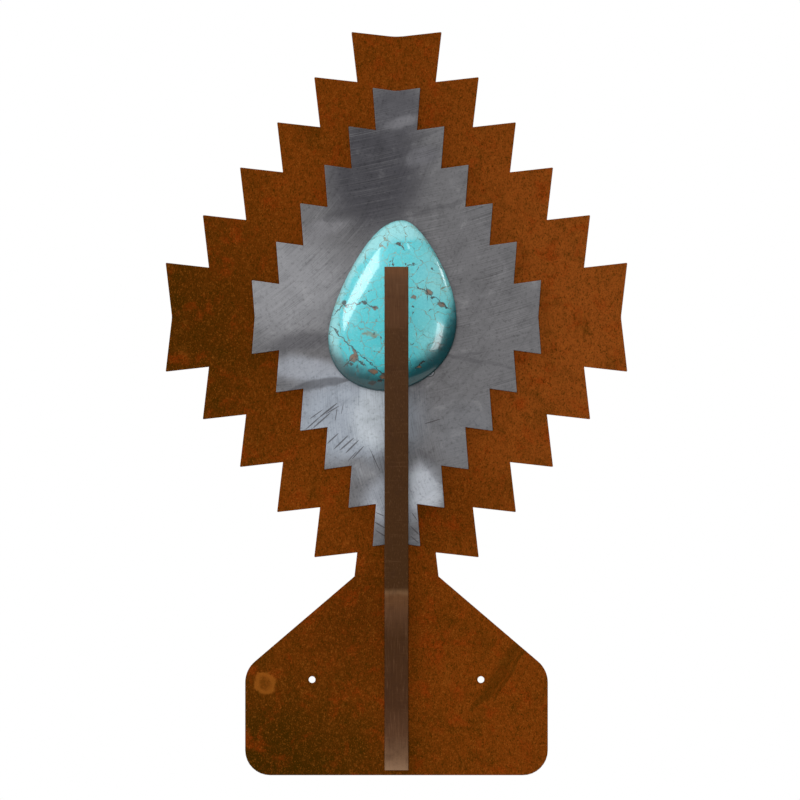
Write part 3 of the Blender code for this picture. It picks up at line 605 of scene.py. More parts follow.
# Fine lines left along arcs by a turning wheel: grey noise, quick across the arcs and slow along them.
wheel_lines, given, result = new_group(
    "wheel_lines", {"Vector": "Vector", "Centre": "Vector", "Across": "Float", "Along": "Float"}, "Value"
)
arm = stretched(wheel_lines, vectors(wheel_lines, "SUBTRACT", given["Vector"], given["Centre"]), 1, 0, 1)
parts = node(wheel_lines, "SeparateXYZ", {0: arm}).outputs
bearing = maths(wheel_lines, "ARCTAN2", parts[0], parts[2])
across = maths(wheel_lines, "MULTIPLY", vectors(wheel_lines, "LENGTH", arm), given["Across"])
along = maths(wheel_lines, "MULTIPLY", bearing, given["Along"])
lines_at = node(wheel_lines, "CombineXYZ", {0: across, 1: along}).outputs[0]
wheel_lines.links.new(noise(wheel_lines, lines_at, 1, 3, 0.6), result.inputs[0])


def arcs(tree, vector, across, along, arc_centre=(0, 0)):
    """Wheel lines about a centre given from the axle: how close they lie, and how fast they change along."""
    place = (axle[0] + arc_centre[0], 0, axle[1] + arc_centre[1])
    return placed(tree, wheel_lines, vector=vector, centre=place, across=across, along=along)


bar_low, bar_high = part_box("strap_bracket")
bar_tall = bar_high.z - bar_low.z
bronzed, tree, shader, spot = new_finish("bronzed_steel", metallic=0.2, specular=0.1)
height = node(tree, "SeparateXYZ", {0: spot}).outputs[2]
waver = maths(tree, "MULTIPLY_ADD", noise(tree, spot, 60, 2), 0.006, -0.003)
level = maths(tree, "DIVIDE", maths(tree, "SUBTRACT", maths(tree, "ADD", height, waver), bar_low.z), bar_tall)
ramp = node(tree, "ValToRGB", {0: level})
# Colour by height: painted light at the bottom bend, along the crease and at the top end, painted shade
# between.
for number, (stop_height, shade) in enumerate(BAR_LIGHT_AND_SHADE):
    stops = ramp.color_ramp.elements
    stop = stops[number] if number < 1 else stops.new((stop_height - bar_low.z) / bar_tall)
    stop.color = shade
stops.remove(stops[-1])
drawn = noise(tree, stretched(tree, spot, 1, 1, 0.05), 1500, 3, 0.6)
crossed = noise(tree, stretched(tree, spot, 0.08, 1, 1), 700, 2, 0.6)
cloud = noise(tree, spot, 120, 4, 0.6)
colour = layered(
    tree,
    ramp.outputs[0],
    (drawn, 0.5, 0.25, 0.35, paint(48, 28, 16)),
    (drawn, 0.52, 0.8, 0.3, paint(128, 92, 66)),
    (crossed, 0.56, 0.8, 0.18, paint(120, 86, 60)),
    (cloud, 0.5, 0.3, 0.3, paint(56, 34, 20)),
)
colour = edged(tree, colour, 0.0009, 0.22, paint(150, 112, 82))
finished(tree, shader, colour, cloud, (0.5, 0.38), bumped(tree, drawn, 0.00002))

half_wide = bar_high.x
foot_back = -bar_high.y
front = -bar_low.y
half_thick = BAR_THICK / 2
panel_low, panel_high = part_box("diamond_panel")
sweep = math.hypot(PANEL_TOP_HALF, (panel_high.z - panel_low.z) / 2)
crease = axle[1] - sweep - BAR_CREASE_BELOW_SWEEP
route = [
    (foot_back + half_thick, bar_low.z, 0),
    (foot_back + half_thick, crease, BAR_BEND_ROUND),
    (front - half_thick, axle[1] - BAR_BEND_BELOW_AXLE, BAR_BEND_ROUND),
    (front - half_thick, bar_high.z, 0),
]
turns = ((1, -1), (1, 1), (-1, 1), (-1, -1))
section = [(across * half_wide, forward * half_thick, BAR_CORNER) for across, forward in turns]
bar = bent_bar("bronzed_bar", rounded(route, closed=False), rounded(section, 4), BAR_EDGE)
upright_back = front - 2 * half_thick
axle_front = seat("axle")[2]
cutters = [plug("spigot_hole", axle, SPIGOT_RADIUS + SLACK, upright_back - CUT_PAST, axle_front + SLACK)]
for name in BAR_SCREWS:
    place, _, screw_front, _ = seat(name)
    cutters.append(plug("screw_hole", place, SCREW_RADIUS + SLACK, foot_back - CUT_PAST, screw_front + SLACK))
bored(bar, cutters)
fit(bar, "frame", "bronzed_steel", bronzed, "strap_bracket")

# --------------------------------------
# Bar fixings: two zinc-plated socket screws, countersunk in the plate's back, each through a turned steel
# spacer into a tapped hole in the bar's foot leg.
SCREW_SOCKET_APOTHEM = 0.00125
SCREW_SOCKET_DEEP = 0.0014
SOCKET_CONE = 1.15
SOCKET_MOUTH = 1.08


def hex_rings(place, pairs, count=48):
    """Rings of a six-sided socket: the radius is apothem / cos(angle from the nearest flat's middle)."""
    angle = np.arange(count) * 2 * math.pi / count
    from_flat = (angle + math.pi / 6) % (math.pi / 3) - math.pi / 6
    apothem, depth = np.array(pairs, float).T[:, :, None]
    radius = apothem / np.cos(from_flat)
    x = place[0] + radius * np.sin(angle)
    return np.stack([x, -depth + 0 * x, place[1] + radius * np.cos(angle)], axis=-1)


def socket_piece(name, place, apothem, deep, profile):
    """A turned piece with a six-sided socket sunk in its first face, from the socket's floor outwards.

    The floor is a shallow cone, deepest in its middle, and the mouth is a little wider than the walls.
    """
    back = profile[0][1]
    floor = turned_rings(place, [(0, back + deep * SOCKET_CONE)])
    mouth = (apothem * SOCKET_MOUTH, back)
    walls = hex_rings(place, [(apothem, back + deep), (apothem, back + BREAK / 2), mouth])
    rings = np.concatenate([floor, walls, turned_rings(place, profile)])
    return solid(name, rings.reshape(-1, 3), grid_faces(len(rings), rings.shape[1]))


def tube(inner, outer, back, front, edge=BREAK):
    """(radius, depth) pairs of a tube or washer with broken edges."""
    outside = [(inner + edge, back), (outer - edge, back), (outer, back + edge), (outer, front - edge)]
    inside = [(outer - edge, front), (inner + edge, front), (inner, front - edge), (inner, back + edge)]
    return outside + inside


def grey(value):
    """A colour without a hue."""
    return paint(value, value, value)


zinc, tree, shader, spot = new_finish("zinc_plate", metallic=1.0)
spangle = node(tree, "TexVoronoi", {"Vector": spot, "Scale": 900.0}).outputs["Color"]
tone = node(tree, "SeparateColor", {0: spangle}).outputs[0]
cloud = noise(tree, spot, 500, 3)
colour = over(tree, spread(tree, tone, 0, 1), paint(108, 109, 113), paint(146, 148, 155))
colour = layered(tree, colour, (cloud, 0.5, 0.75, 0.4, paint(120, 116, 106)))
colour = edged(tree, colour, 0.0003, 1, grey(168))
finished(tree, shader, colour, cloud, (0.26, 0.42), bumped(tree, cloud, 0.00001))

turned_steel, tree, shader, spot = new_finish("turned_steel", metallic=1.0)
lathe = arcs(tree, spot, 9000.0, 2.0)
length_lines = noise(tree, stretched(tree, spot, 0.02, 1, 0.02), 4000, 2)
oil = noise(tree, spot, 140, 3, 0.6)
colour = layered(
    tree,
    grey(138),
    (lathe, 0.35, 0.65, 1, grey(176)),
    (length_lines, 0.4, 0.75, 0.4, grey(112)),
    (oil, 0.5, 0.75, 0.35, paint(120, 108, 92)),
)
colour = edged(tree, colour, 0.0004, 1, grey(205))
turnings = bumped(tree, maths(tree, "ADD", lathe, length_lines), 0.00001)
finished(tree, shader, colour, oil, (0.26, 0.4), turnings)

for end in ("upper", "lower"):
    place, back, front_end, _ = seat(f"strap_screw_{end}")
    slope = (SCREW_HEAD - SCREW_RADIUS) / SCREW_SINK
    profile = [
        (SCREW_HEAD - slope * back, back),
        (SCREW_RADIUS, SCREW_SINK),
        (SCREW_RADIUS, front_end - BREAK),
        (SCREW_RADIUS - BREAK, front_end),
        (0, front_end),
    ]
    screw = socket_piece(f"bar_screw_{end}", place, SCREW_SOCKET_APOTHEM, SCREW_SOCKET_DEEP, profile)
    fit(screw, "frame", "zinc_plate", zinc, f"strap_screw_{end}")
    place, back, front_end, outer = seat(f"strap_spacer_{end}")
    shape = tube(SCREW_RADIUS + SLACK, outer, back, front_end)
    spacer = turned_piece(f"bar_spacer_{end}", place, shape, hollow=True)
    fit(spacer, "frame", "turned_steel", turned_steel, f"strap_spacer_{end}")

# --------------------------------------
# Axle: a steel pin with a countersunk socket head flush in the plate's back. A turned boss, riveted to the
# plate's front with three rivets, steadies it, and its stepped end sits in the bar's blind hole.
AXLE_SOCKET_APOTHEM = 0.0025
AXLE_SOCKET_DEEP = 0.0022
BOSS_EDGE = 0.0005
RIVET_DOME = 0.0013

_, axle_back, axle_front, _ = seat("axle")
slope = (AXLE_HEAD - AXLE_RADIUS) / plate_front
shoulder = upright_back - SLACK
profile = [
    (AXLE_HEAD - slope * axle_back, axle_back),
    (AXLE_RADIUS, plate_front),
    (AXLE_RADIUS, shoulder - BREAK),
    (AXLE_RADIUS - BREAK, shoulder),
    (SPIGOT_RADIUS, shoulder),
    (SPIGOT_RADIUS, axle_front - BREAK),
    (SPIGOT_RADIUS - BREAK, axle_front),
    (0, axle_front),
]
pin = socket_piece("axle_pin", axle, AXLE_SOCKET_APOTHEM, AXLE_SOCKET_DEEP, profile)
fit(pin, "frame", "turned_steel", turned_steel, "axle")

_, boss_back, boss_front, boss_radius = seat("axle_boss")
rim = [(boss_radius - inset, depth) for inset, depth in eased(boss_back, boss_front, BOSS_EDGE)]
loops = [turned_rings(axle, rim, 96)]
loops.append(turned_rings(axle, drilled(AXLE_RADIUS + SLACK, boss_back, boss_front)))
loops += holes(BOSS_RIVETS, drilled(RIVET_RADIUS + SLACK, boss_back, boss_front))
fit(cut_sheet("turned_boss", loops), "frame", "turned_steel", turned_steel, "axle_boss")


def dome(face, outward, steps=8):
    """(radius, depth) pairs of a domed rivet head, a quarter ellipse from its rim on a face to its crown."""
    angle = np.linspace(0, math.pi / 2, steps + 1)
    return np.stack([RIVET_HEAD * np.cos(angle), face + outward * RIVET_DOME * np.sin(angle)], axis=1)


def sunk_head(face, inward):
    """(radius, depth) pairs of a countersunk head, from the middle of its flat face to its shank."""
    slope = (RIVET_HEAD - RIVET_RADIUS) / RIVET_SINK
    flush = face + inward * SLACK
    return [(0, flush), (RIVET_HEAD - slope * SLACK, flush), (RIVET_RADIUS, face + inward * RIVET_SINK)]


for name in BOSS_RIVETS:
    face = boss_front + SLACK
    profile = [*sunk_head(0, 1), (RIVET_RADIUS, face), *dome(face, 1)]
    rivet = turned_piece(name.replace("rivet", "dome"), seat(name)[0], profile, count=32)
    fit(rivet, "frame", "zinc_plate", zinc, name)

# --------------------------------------
# Axle rings: a nylon thrust washer at each end of the turning hub, and a steel tube that holds the hub off
# the bar. They are loose on the axle.
nylon, tree, shader, spot = new_finish("nylon")
cloud = noise(tree, spot, 300, 3)
rub = arcs(tree, spot, 5000.0, 3.0)
colour = over(tree, cloud, paint(214, 210, 196), paint(232, 230, 222))
colour = layered(tree, colour, (rub, 0.55, 0.8, 0.4, paint(150, 146, 136)))
finished(tree, shader, colour, cloud, (0.4, 0.55), bumped(tree, rub, 0.00001))

for end in ("rear", "front"):
    _, back, front_end, outer = seat(f"{end}_washer")
    ring = tube(AXLE_RADIUS + SLACK, outer, back, front_end)
    washer = turned_piece(f"nylon_{end}", axle, ring, hollow=True)
    fit(washer, "frame", "nylon", nylon, f"{end}_washer")
_, back, front_end, outer = seat("front_spacer")
spacer = turned_piece("bar_tube", axle, tube(AXLE_RADIUS + SLACK, outer, back, front_end), hollow=True)
fit(spacer, "frame", "turned_steel", turned_steel, "front_spacer")

# --------------------------------------
# Hub: a turned steel flange behind the diamond, with a sleeve through diamond and stone. Bronze bushes
# pressed into both ends of the sleeve run on the axle.
SLEEVE_RADIUS = 0.008
BUSH_RADIUS = 0.006
BUSH_BORE = 0.0041
BUSH_FLANGE = 0.0015
HUB_RIVETS = ("hub_rivet_1", "hub_rivet_2", "hub_rivet_3", "hub_rivet_4")
WEIGHT_RIVETS = ("weight_rivet_1", "weight_rivet_2")

_, hub_back, sleeve_end, hub_radius = seat("rotor_hub")
hub_front = -panel_high.y - SLACK
hub_bore = BUSH_RADIUS + SLACK
profile = [
    (hub_bore + BREAK, hub_back),
    (hub_radius - BREAK, hub_back),
    (hub_radius, hub_back + BREAK),
    (hub_radius, hub_front - BREAK),
    (hub_radius - BREAK, hub_front),
    (SLEEVE_RADIUS, hub_front),
    (SLEEVE_RADIUS, sleeve_end - BREAK),
    (SLEEVE_RADIUS - BREAK, sleeve_end),
    (hub_bore + BREAK, sleeve_end),
    (hub_bore, sleeve_end - BREAK),
    (hub_bore, hub_back + BREAK),
]
hub = turned_piece("turned_hub", axle, profile, hollow=True, count=96)
cutters = [
    plug("hub_hole", seat(name)[0], RIVET_RADIUS + SLACK, hub_back - CUT_PAST, hub_front + CUT_PAST)
    for name in HUB_RIVETS
]
bored(hub, cutters)
fit(hub, "rotor", "turned_steel", turned_steel, "rotor_hub")

bronze, tree, shader, spot = new_finish("bearing_bronze", metallic=1.0)
cloud = noise(tree, spot, 260, 4, 0.6)
lathe = arcs(tree, spot, 9000.0, 2.0)
colour = over(tree, cloud, paint(150, 112, 62), paint(196, 156, 96))
colour = layered(tree, colour, (lathe, 0.5, 0.8, 0.4, paint(104, 72, 40)))
colour = edged(tree, colour, 0.0003, 1, paint(222, 188, 128))
finished(tree, shader, colour, cloud, (0.28, 0.42), bumped(tree, lathe, 0.00001))

for end, outward in (("rear", -1), ("front", 1)):
    _, back, front_end, flange = seat(f"{end}_bush")
    mouth, tail = (back, front_end) if outward < 0 else (front_end, back)
    step = mouth - outward * BUSH_FLANGE
    profile = [
        (BUSH_BORE + BREAK, mouth),
        (flange - BREAK, mouth),
        (flange, mouth - outward * BREAK),
        (flange, step),
        (BUSH_RADIUS, step),
        (BUSH_RADIUS, tail + outward * BREAK),
        (BUSH_RADIUS - BREAK, tail),
        (BUSH_BORE, tail),
        (BUSH_BORE, mouth - outward * BREAK),
    ]
    bush = turned_piece(f"bronze_bush_{end}", axle, profile, hollow=True)
    fit(bush, "rotor", "bearing_bronze", bronze, f"{end}_bush")

# --------------------------------------
# Diamond: 2 mm steel sheet cut as a stepped diamond, ground by hand with a wheel so that fields of arcs
# cross, with broad light and dark fields that are partly its own uneven tone and partly painted reflection
# of the room. It is bored for the hub's sleeve and countersunk in front for every rivet.
PANEL_STEP_OUT = 0.0193
PANEL_SIDE_HALF = 0.0295
PANEL_RISES = (0.0307,) * 5
PANEL_SIDE_LEAN = 0.077
PANEL_TOP_LEAN = 0.14
PANEL_DIP = 0.030
PANEL_NOTCH = 0.015
PANEL_ROUND_SHARE = 0.75
PANEL_EDGE = 0.0003
GROUND_BASE = paint(109, 108, 110)
GROUND_SHADE = grey(150)
GROUND_BAND = paint(72, 71, 74)
GROUND_SCRATCH = paint(66, 62, 64)
# Middle of each tone from the axle, its half-sizes, its turn in degrees, and the tone: partly uneven tone
# and partly painted reflection, dark high up and bright low down
GROUND_TONES_AND_REFLECTIONS = (
    ((-0.018, 0.118), (0.066, 0.088), 0, paint(73, 72, 76)),
    ((0.000, 0.165), (0.040, 0.040), 0, paint(86, 85, 89)),
    ((0.020, 0.128), (0.024, 0.012), 14, paint(104, 103, 107)),
    ((-0.092, 0.026), (0.082, 0.068), 0, paint(140, 140, 143)),
    ((-0.060, 0.071), (0.036, 0.011), 16, paint(124, 123, 126)),
    ((-0.074, -0.020), (0.044, 0.013), 12, paint(98, 97, 100)),
    ((-0.068, -0.043), (0.060, 0.016), -8, paint(150, 153, 160)),
    ((-0.036, -0.082), (0.082, 0.058), 0, paint(156, 163, 173)),
    ((-0.014, -0.080), (0.034, 0.044), 0, paint(184, 191, 198)),
    ((-0.004, -0.146), (0.034, 0.036), 0, paint(158, 162, 170)),
    ((0.022, -0.138), (0.026, 0.034), 12, paint(174, 178, 185)),
    ((-0.034, -0.122), (0.020, 0.014), 0, paint(124, 125, 129)),
    ((0.054, -0.092), (0.044, 0.040), 0, paint(114, 114, 117)),
    ((0.000, -0.185), (0.030, 0.016), 0, paint(96, 97, 101)),
    ((0.006, 0.156), (0.026, 0.007), 14, paint(112, 111, 115)),
)
# Dark wheel marks: start and end from the axle, width, share
GROUND_BANDS = (
    ((-0.0880, -0.0590), (-0.0380, -0.0500), 0.0062, 0.6),
    ((-0.0560, 0.0780), (-0.0240, 0.0860), 0.0080, 0.4),
    ((0.0400, -0.0300), (0.0960, -0.0400), 0.0030, 0.25),
    ((0.0300, -0.0330), (0.0700, -0.0270), 0.0020, 0.25),
    ((0.0100, 0.0800), (0.0740, 0.1000), 0.0040, 0.3),
    ((-0.0140, 0.1020), (0.0060, 0.1060), 0.0016, 0.5),
    ((-0.0200, 0.1080), (0.0040, 0.1130), 0.0014, 0.5),
    ((0.0000, 0.1360), (0.0340, 0.1500), 0.0040, 0.3),
    ((0.0160, -0.1060), (0.0400, -0.1320), 0.0080, 0.3),
)
# Centre of each field of arcs from the axle, and the middle and half-sizes of the field
GROUND_FIELDS = (
    ((-0.15, 0.75), (0, 0), (1, 1)),
    ((-0.30, 0.30), (-0.085, 0.03), (0.11, 0.11)),
    ((-0.05, 0.45), (0.075, 0.05), (0.11, 0.12)),
    ((0.25, -0.05), (-0.03, -0.10), (0.10, 0.11)),
)
# Fine dark scratches: start and end from the axle, and width
GROUND_SCRATCHES = (
    ((-0.0501, -0.1056), (-0.0386, -0.0945), 0.0010),
    ((-0.0452, -0.1063), (-0.0341, -0.0965), 0.0011),
    ((-0.0403, -0.1083), (-0.0302, -0.0982), 0.0011),
    ((-0.0354, -0.1132), (-0.0262, -0.1031), 0.0009),
    ((-0.0550, -0.1007), (-0.0464, -0.0928), 0.0009),
    ((-0.0386, -0.1147), (-0.0317, -0.1073), 0.0006),
    ((-0.0723, -0.0896), (-0.0612, -0.0797), 0.0009),
    ((-0.0666, -0.0886), (-0.0526, -0.0763), 0.0010),
    ((-0.0617, -0.0802), (-0.0474, -0.0687), 0.0012),
    ((-0.0563, -0.0773), (-0.0459, -0.0709), 0.0008),
    ((-0.0691, -0.0812), (-0.0587, -0.0738), 0.0007),
    ((-0.0489, -0.0827), (-0.0474, -0.0728), 0.0006),
    ((-0.0440, -0.0773), (-0.0425, -0.0694), 0.0005),
    ((-0.0194, -0.1098), (-0.0132, -0.1228), 0.0005),
    ((-0.0218, -0.1044), (-0.0164, -0.1154), 0.0004),
    ((0.0225, -0.0852), (0.0348, -0.0815), 0.0008),
    ((-0.0164, -0.1560), (-0.0095, -0.1590), 0.0007),
    ((-0.0179, -0.1634), (-0.0085, -0.1688), 0.0009),
    ((-0.0164, -0.1703), (-0.0080, -0.1757), 0.0009),
    ((0.0112, -0.1669), (0.0181, -0.1738), 0.0009),
    ((0.0112, -0.1748), (0.0176, -0.1802), 0.0008),
    ((0.0122, -0.1560), (0.0166, -0.1624), 0.0006),
)

ground, tree, shader, spot = new_finish("ground_steel", metallic=1.0)
drift = strayed(tree, spot, 40.0, 0.009)
colour = GROUND_BASE
# Broad fields of tone, partly painted reflection of the room: dark high up, bright low down.
for middle, half_sizes, turn, shade in GROUND_TONES_AND_REFLECTIONS:
    colour = layered(tree, colour, (oval(tree, drift, middle, half_sizes, turn, axle), 0, 0.75, 1, shade))
lines = None
for arc_centre, middle, half_sizes in GROUND_FIELDS:
    field = arcs(tree, spot, 2600.0, 9.0, arc_centre)
    mask = spread(tree, oval(tree, drift, middle, half_sizes, origin=axle), 0, 0.5)
    lines = over(tree, mask, lines, field) if lines else field
wide_lines = arcs(tree, spot, 420.0, 5.0, (-0.25, 0.22))
cloud = noise(tree, spot, 70, 5, 0.6, 0.6)
mottle = noise(tree, spot, 420, 3, 0.6)
colour = layered(
    tree,
    colour,
    (cloud, 0.52, 0.3, 0.14, GROUND_SHADE, "MULTIPLY"),
    (cloud, 0.56, 0.75, 0.08, grey(210)),
    (wide_lines, 0.5, 0.3, 0.16, GROUND_SHADE, "MULTIPLY"),
    (lines, 0.5, 0.28, 0.55, GROUND_SHADE, "MULTIPLY"),
    (lines, 0.54, 0.78, 0.22, grey(190)),
    (mottle, 0.5, 0.25, 0.4, GROUND_SHADE, "MULTIPLY"),
)
for start, end, width, share in GROUND_BANDS:
    mark = maths(tree, "MULTIPLY", line(tree, drift, start, end, width, axle), share)
    colour = over(tree, mark, colour, GROUND_BAND)
for start, end, width in GROUND_SCRATCHES:
    mark = maths(tree, "MULTIPLY", line(tree, spot, start, end, width, axle), 0.75)
    colour = over(tree, mark, colour, GROUND_SCRATCH)
colour = edged(tree, colour, 0.0006, 0.5, grey(205))
grain = bumped(tree, mottle, 0.00003, bumped(tree, lines, 0.00002))
finished(tree, shader, colour, cloud, (0.46, 0.36), grain)

side = stepped_side(
    PANEL_SIDE_HALF, PANEL_RISES, PANEL_TOP_HALF, PANEL_STEP_OUT, PANEL_SIDE_LEAN, PANEL_TOP_LEAN
)
side[:, 2] *= PANEL_ROUND_SHARE
notch = side[0, 0] - PANEL_SIDE_LEAN * side[0, 1]
dip = side[-1, 1] - PANEL_TOP_LEAN * side[-1, 0]
corners = [[(notch, 0, PANEL_NOTCH)], side, [(0, dip, PANEL_DIP)], mirrored(side, -1, 1)]
corners += [[(-notch, 0, PANEL_NOTCH)], mirrored(side, -1, -1), [(0, -dip, PANEL_DIP)], mirrored(side, 1, -1)]
outline = rounded(np.concatenate(corners)) + axle
panel_back, panel_front = -panel_high.y, -panel_low.y
loops = [rim_rings(outline, eased(panel_back, panel_front, PANEL_EDGE))]
loops.append(turned_rings(axle, drilled(SLEEVE_RADIUS + SLACK, panel_back, panel_front)))
bore = RIVET_RADIUS + SLACK
hole = [(bore + BREAK, panel_back), (bore, panel_back + BREAK), (bore, panel_front - RIVET_SINK)]
hole.append((RIVET_HEAD + SLACK, panel_front))
loops += holes(HUB_RIVETS + WEIGHT_RIVETS, hole)
fit(cut_sheet("ground_diamond", loops), "rotor", "brushed_steel", ground, "diamond_panel")

# --------------------------------------
# Balance weight: a steel block behind the diamond, set off to one side to balance the stone. Two rivets hold
# it, and four hold the hub. Their countersunk heads lie flush in the diamond's front.
WEIGHT_ROUND = 0.004
WEIGHT_EDGE = 0.0005

low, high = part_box("balance_weight")
corners = ((high.x, low.z), (high.x, high.z), (low.x, high.z), (low.x, low.z))
corners = [(x, z, WEIGHT_ROUND) for x, z in corners]
loops = [rim_rings(rounded(corners), eased(-high.y, -low.y, WEIGHT_EDGE))]
loops += holes(WEIGHT_RIVETS, drilled(RIVET_RADIUS + SLACK, -high.y, -low.y))
fit(cut_sheet("steel_weight", loops), "rotor", "turned_steel", turned_steel, "balance_weight")

rivets = [("hub_rivet", number, hub_back) for number in (1, 2, 3, 4)]
rivets += [("weight_rivet", number, -high.y) for number in (1, 2)]
for kind, number, behind in rivets:
    face = behind - SLACK
    profile = [*dome(face, -1)[::-1], (RIVET_RADIUS, face), *sunk_head(panel_front, -1)[::-1]]
    rivet = turned_piece(f"{kind}_dome_{number}", seat(f"{kind}_{number}")[0], profile, count=32)
    fit(rivet, "rotor", "zinc_plate", zinc, f"{kind}_{number}")

# --------------------------------------
# Backing: a thin black resin layer that bonds the stone to the diamond, drawn in from the stone's edge.
resin, tree, shader, spot = new_finish("black_resin")
cloud = noise(tree, spot, 240, 4, 0.6)
fleck = noise(tree, spot, 1600, 2, 0.6)
colour = over(tree, cloud, paint(16, 16, 17), paint(34, 33, 32))
colour = layered(tree, colour, (fleck, 0.62, 0.72, 0.5, paint(70, 68, 64)))
finished(tree, shader, colour, cloud, (0.5, 0.3), bumped(tree, cloud, 0.0001))
for material_slot in bpy.data.objects["stone_backing"].material_slots:
    material_slot.material = resin

# --------------------------------------
# Stone: an egg-shaped turquoise cabochon with a low flat crown, ground and polished, with brown matrix in its
# fine cracks and a darker vein across it. The sleeve passes through a bore in it, hidden behind the bar.
STONE_MIDDLE = (-0.0065, 0.0093)
STONE_HALF_LONG = 0.0688
STONE_LEAN = math.radians(11)
STONE_LEFT = (0.0406, 0.324, 0.150)
STONE_RIGHT = (0.0557, 0.264, -0.192)
STONE_GIRDLE = 0.003
STONE_ROUND = 2.4
STONE_FOOT = 0.0004
STONE_BORE_BREAK = 0.008
STONE_BASE = paint(54, 188, 197)
STONE_VEIN = paint(104, 90, 60)
STONE_FAINT = paint(122, 138, 116)
STONE_DARK = paint(26, 26, 24)
STONE_RUSTY = paint(126, 90, 64)
# Middle of each cloud from the axle, its half-sizes, its turn in degrees and its colour. The first three are
# the stone's own tone; the fourth is a painted highlight along the rim high on the left, and the fifth is
# painted shade on the rim at the bottom left.
STONE_TONES_AND_RIM_LIGHT = (
    ((-0.030, 0.044), (0.040, 0.056), 0, paint(76, 198, 206)),
    ((0.036, 0.034), (0.034, 0.056), 0, paint(122, 198, 200)),
    ((0.030, -0.020), (0.030, 0.040), 0, paint(112, 198, 202)),
    ((-0.050, 0.050), (0.024, 0.080), -24, paint(186, 230, 236)),
    ((-0.040, -0.064), (0.030, 0.026), 25, paint(16, 84, 96)),
)
# The rim is painted dark as shade where it stands out of one oval, low on the right, and painted pale as
# a highlight where it stands out of another, high on the left: each oval's middle and half-sizes
STONE_SHADE_CORE = ((-0.012, 0.033), (0.071, 0.0915))
STONE_RIM_SHADE = paint(10, 52, 58)
STONE_HIGHLIGHT_CORE = ((0.010, -0.012), (0.0605, 0.0795))
STONE_RIM_HIGHLIGHT = paint(196, 226, 224)
# Middle and half-sizes of each brown patch
STONE_PATCHES = (
    ((-0.0340, -0.0326), (0.0062, 0.0046)),
    ((-0.0330, -0.0290), (0.0030, 0.0046)),
    ((0.0260, 0.0194), (0.0050, 0.0036)),
    ((0.0356, 0.0102), (0.0046, 0.0036)),
    ((-0.0167, 0.0066), (0.0030, 0.0022)),
    ((-0.0188, -0.0438), (0.0050, 0.0034)),
    ((-0.0100, -0.0470), (0.0046, 0.0030)),
    ((0.0140, 0.0154), (0.0026, 0.0026)),
    ((0.0180, -0.0400), (0.0026, 0.0020)),
)
# Middle and radius of each dark speck
STONE_SPECKS = (
    ((0.0012, 0.0582), 0.0030),
    ((-0.0028, 0.0426), 0.0022),
    ((0.0068, 0.0418), 0.0022),
    ((0.0140, 0.0426), 0.0020),
    ((0.0292, 0.0386), 0.0020),
    ((-0.0254, 0.0114), 0.0032),
    ((-0.0424, 0.0114), 0.0034),
    ((-0.0404, 0.0090), 0.0030),
    ((0.0132, 0.0085), 0.0020),
    ((-0.0080, 0.0130), 0.0020),
    ((-0.0196, -0.0526), 0.0046),
    ((-0.0130, -0.0500), 0.0034),
    ((0.0290, 0.0160), 0.0024),
    ((0.0390, 0.0080), 0.0026),
    ((-0.0360, -0.0370), 0.0026),
)
# The dark vein's bends, then single cracks
STONE_CRACK_WIDE = 0.0011
STONE_CRACK = (
    (-0.0524, -0.0070),
    (-0.0412, -0.0190),
    (-0.0292, -0.0294),
    (-0.0188, -0.0390),
    (-0.0080, -0.0475),
)
STONE_LINE_WIDE = 0.0009
STONE_LINES = (
    ((-0.0340, -0.0326), (-0.0424, -0.0402)),
    ((-0.0330, -0.0330), (-0.0240, -0.0400)),
    ((0.0148, 0.0242), (0.0284, 0.0170)),
    ((0.0284, 0.0170), (0.0420, 0.0070)),
    ((0.0230, 0.0250), (0.0250, 0.0120)),
    ((0.0150, -0.0420), (0.0230, -0.0340)),
    ((-0.0508, 0.0010), (-0.0412, 0.0114)),
    ((-0.0412, 0.0098), (-0.0252, 0.0114)),
    ((-0.0252, 0.0114), (-0.0160, 0.0060)),
    ((0.0000, 0.0590), (0.0080, 0.0530)),
    ((-0.0030, 0.0480), (-0.0028, 0.0400)),
    ((0.0080, 0.0400), (0.0170, 0.0420)),
)

turquoise, tree, shader, spot = new_finish("turquoise")
shader.inputs["Roughness"].default_value = 0.2
shader.inputs["Coat Weight"].default_value = 0.6
shader.inputs["Coat Roughness"].default_value = 0.04
ragged = strayed(tree, spot, 210.0, 0.007, 4.0, 0.6)
cloud = noise(tree, spot, 60, 5, 0.6, 0.5)
sugar = noise(tree, spot, 700, 3, 0.65)
clots = noise(tree, spot, 240, 3, 0.6)
present = spread(tree, noise(tree, spot, 70, 2), 0.36, 0.62)
bend = node(tree, "TexNoise", {"Vector": spot, "Scale": 60.0, "Detail": 2.0}).outputs[1]
flat = stretched(tree, vectors(tree, "MULTIPLY_ADD", bend, (0.014,) * 3, ragged), 1, 0.02, 1)
cells, small_cells = [
    node(tree, "TexVoronoi", {"Vector": flat, "Scale": scale}, feature="DISTANCE_TO_EDGE").outputs[0]
    for scale in (95.0, 230.0)
]
crackle = spread(tree, cells, 0.026, 0.006)
vein = maths(tree, "MULTIPLY", crackle, present)
filled = maths(tree, "MULTIPLY", vein, spread(tree, clots, 0.3, 0.6, 0.15, 0.8))
clotted = maths(tree, "MULTIPLY", spread(tree, cells, 0.07, 0.02), spread(tree, clots, 0.6, 0.68))
here = spread(tree, cloud, 0.4, 0.65, 0, 0.35)
fine_vein = maths(tree, "MULTIPLY", spread(tree, small_cells, 0.05, 0.01), here)
colour = STONE_BASE
# Clouds of the stone's own tone, then painted light on the rim: a highlight high on the left, shade at the
# bottom left.
for middle, half_sizes, turn, shade in STONE_TONES_AND_RIM_LIGHT:
    colour = over(tree, oval(tree, ragged, middle, half_sizes, turn, axle), colour, shade)
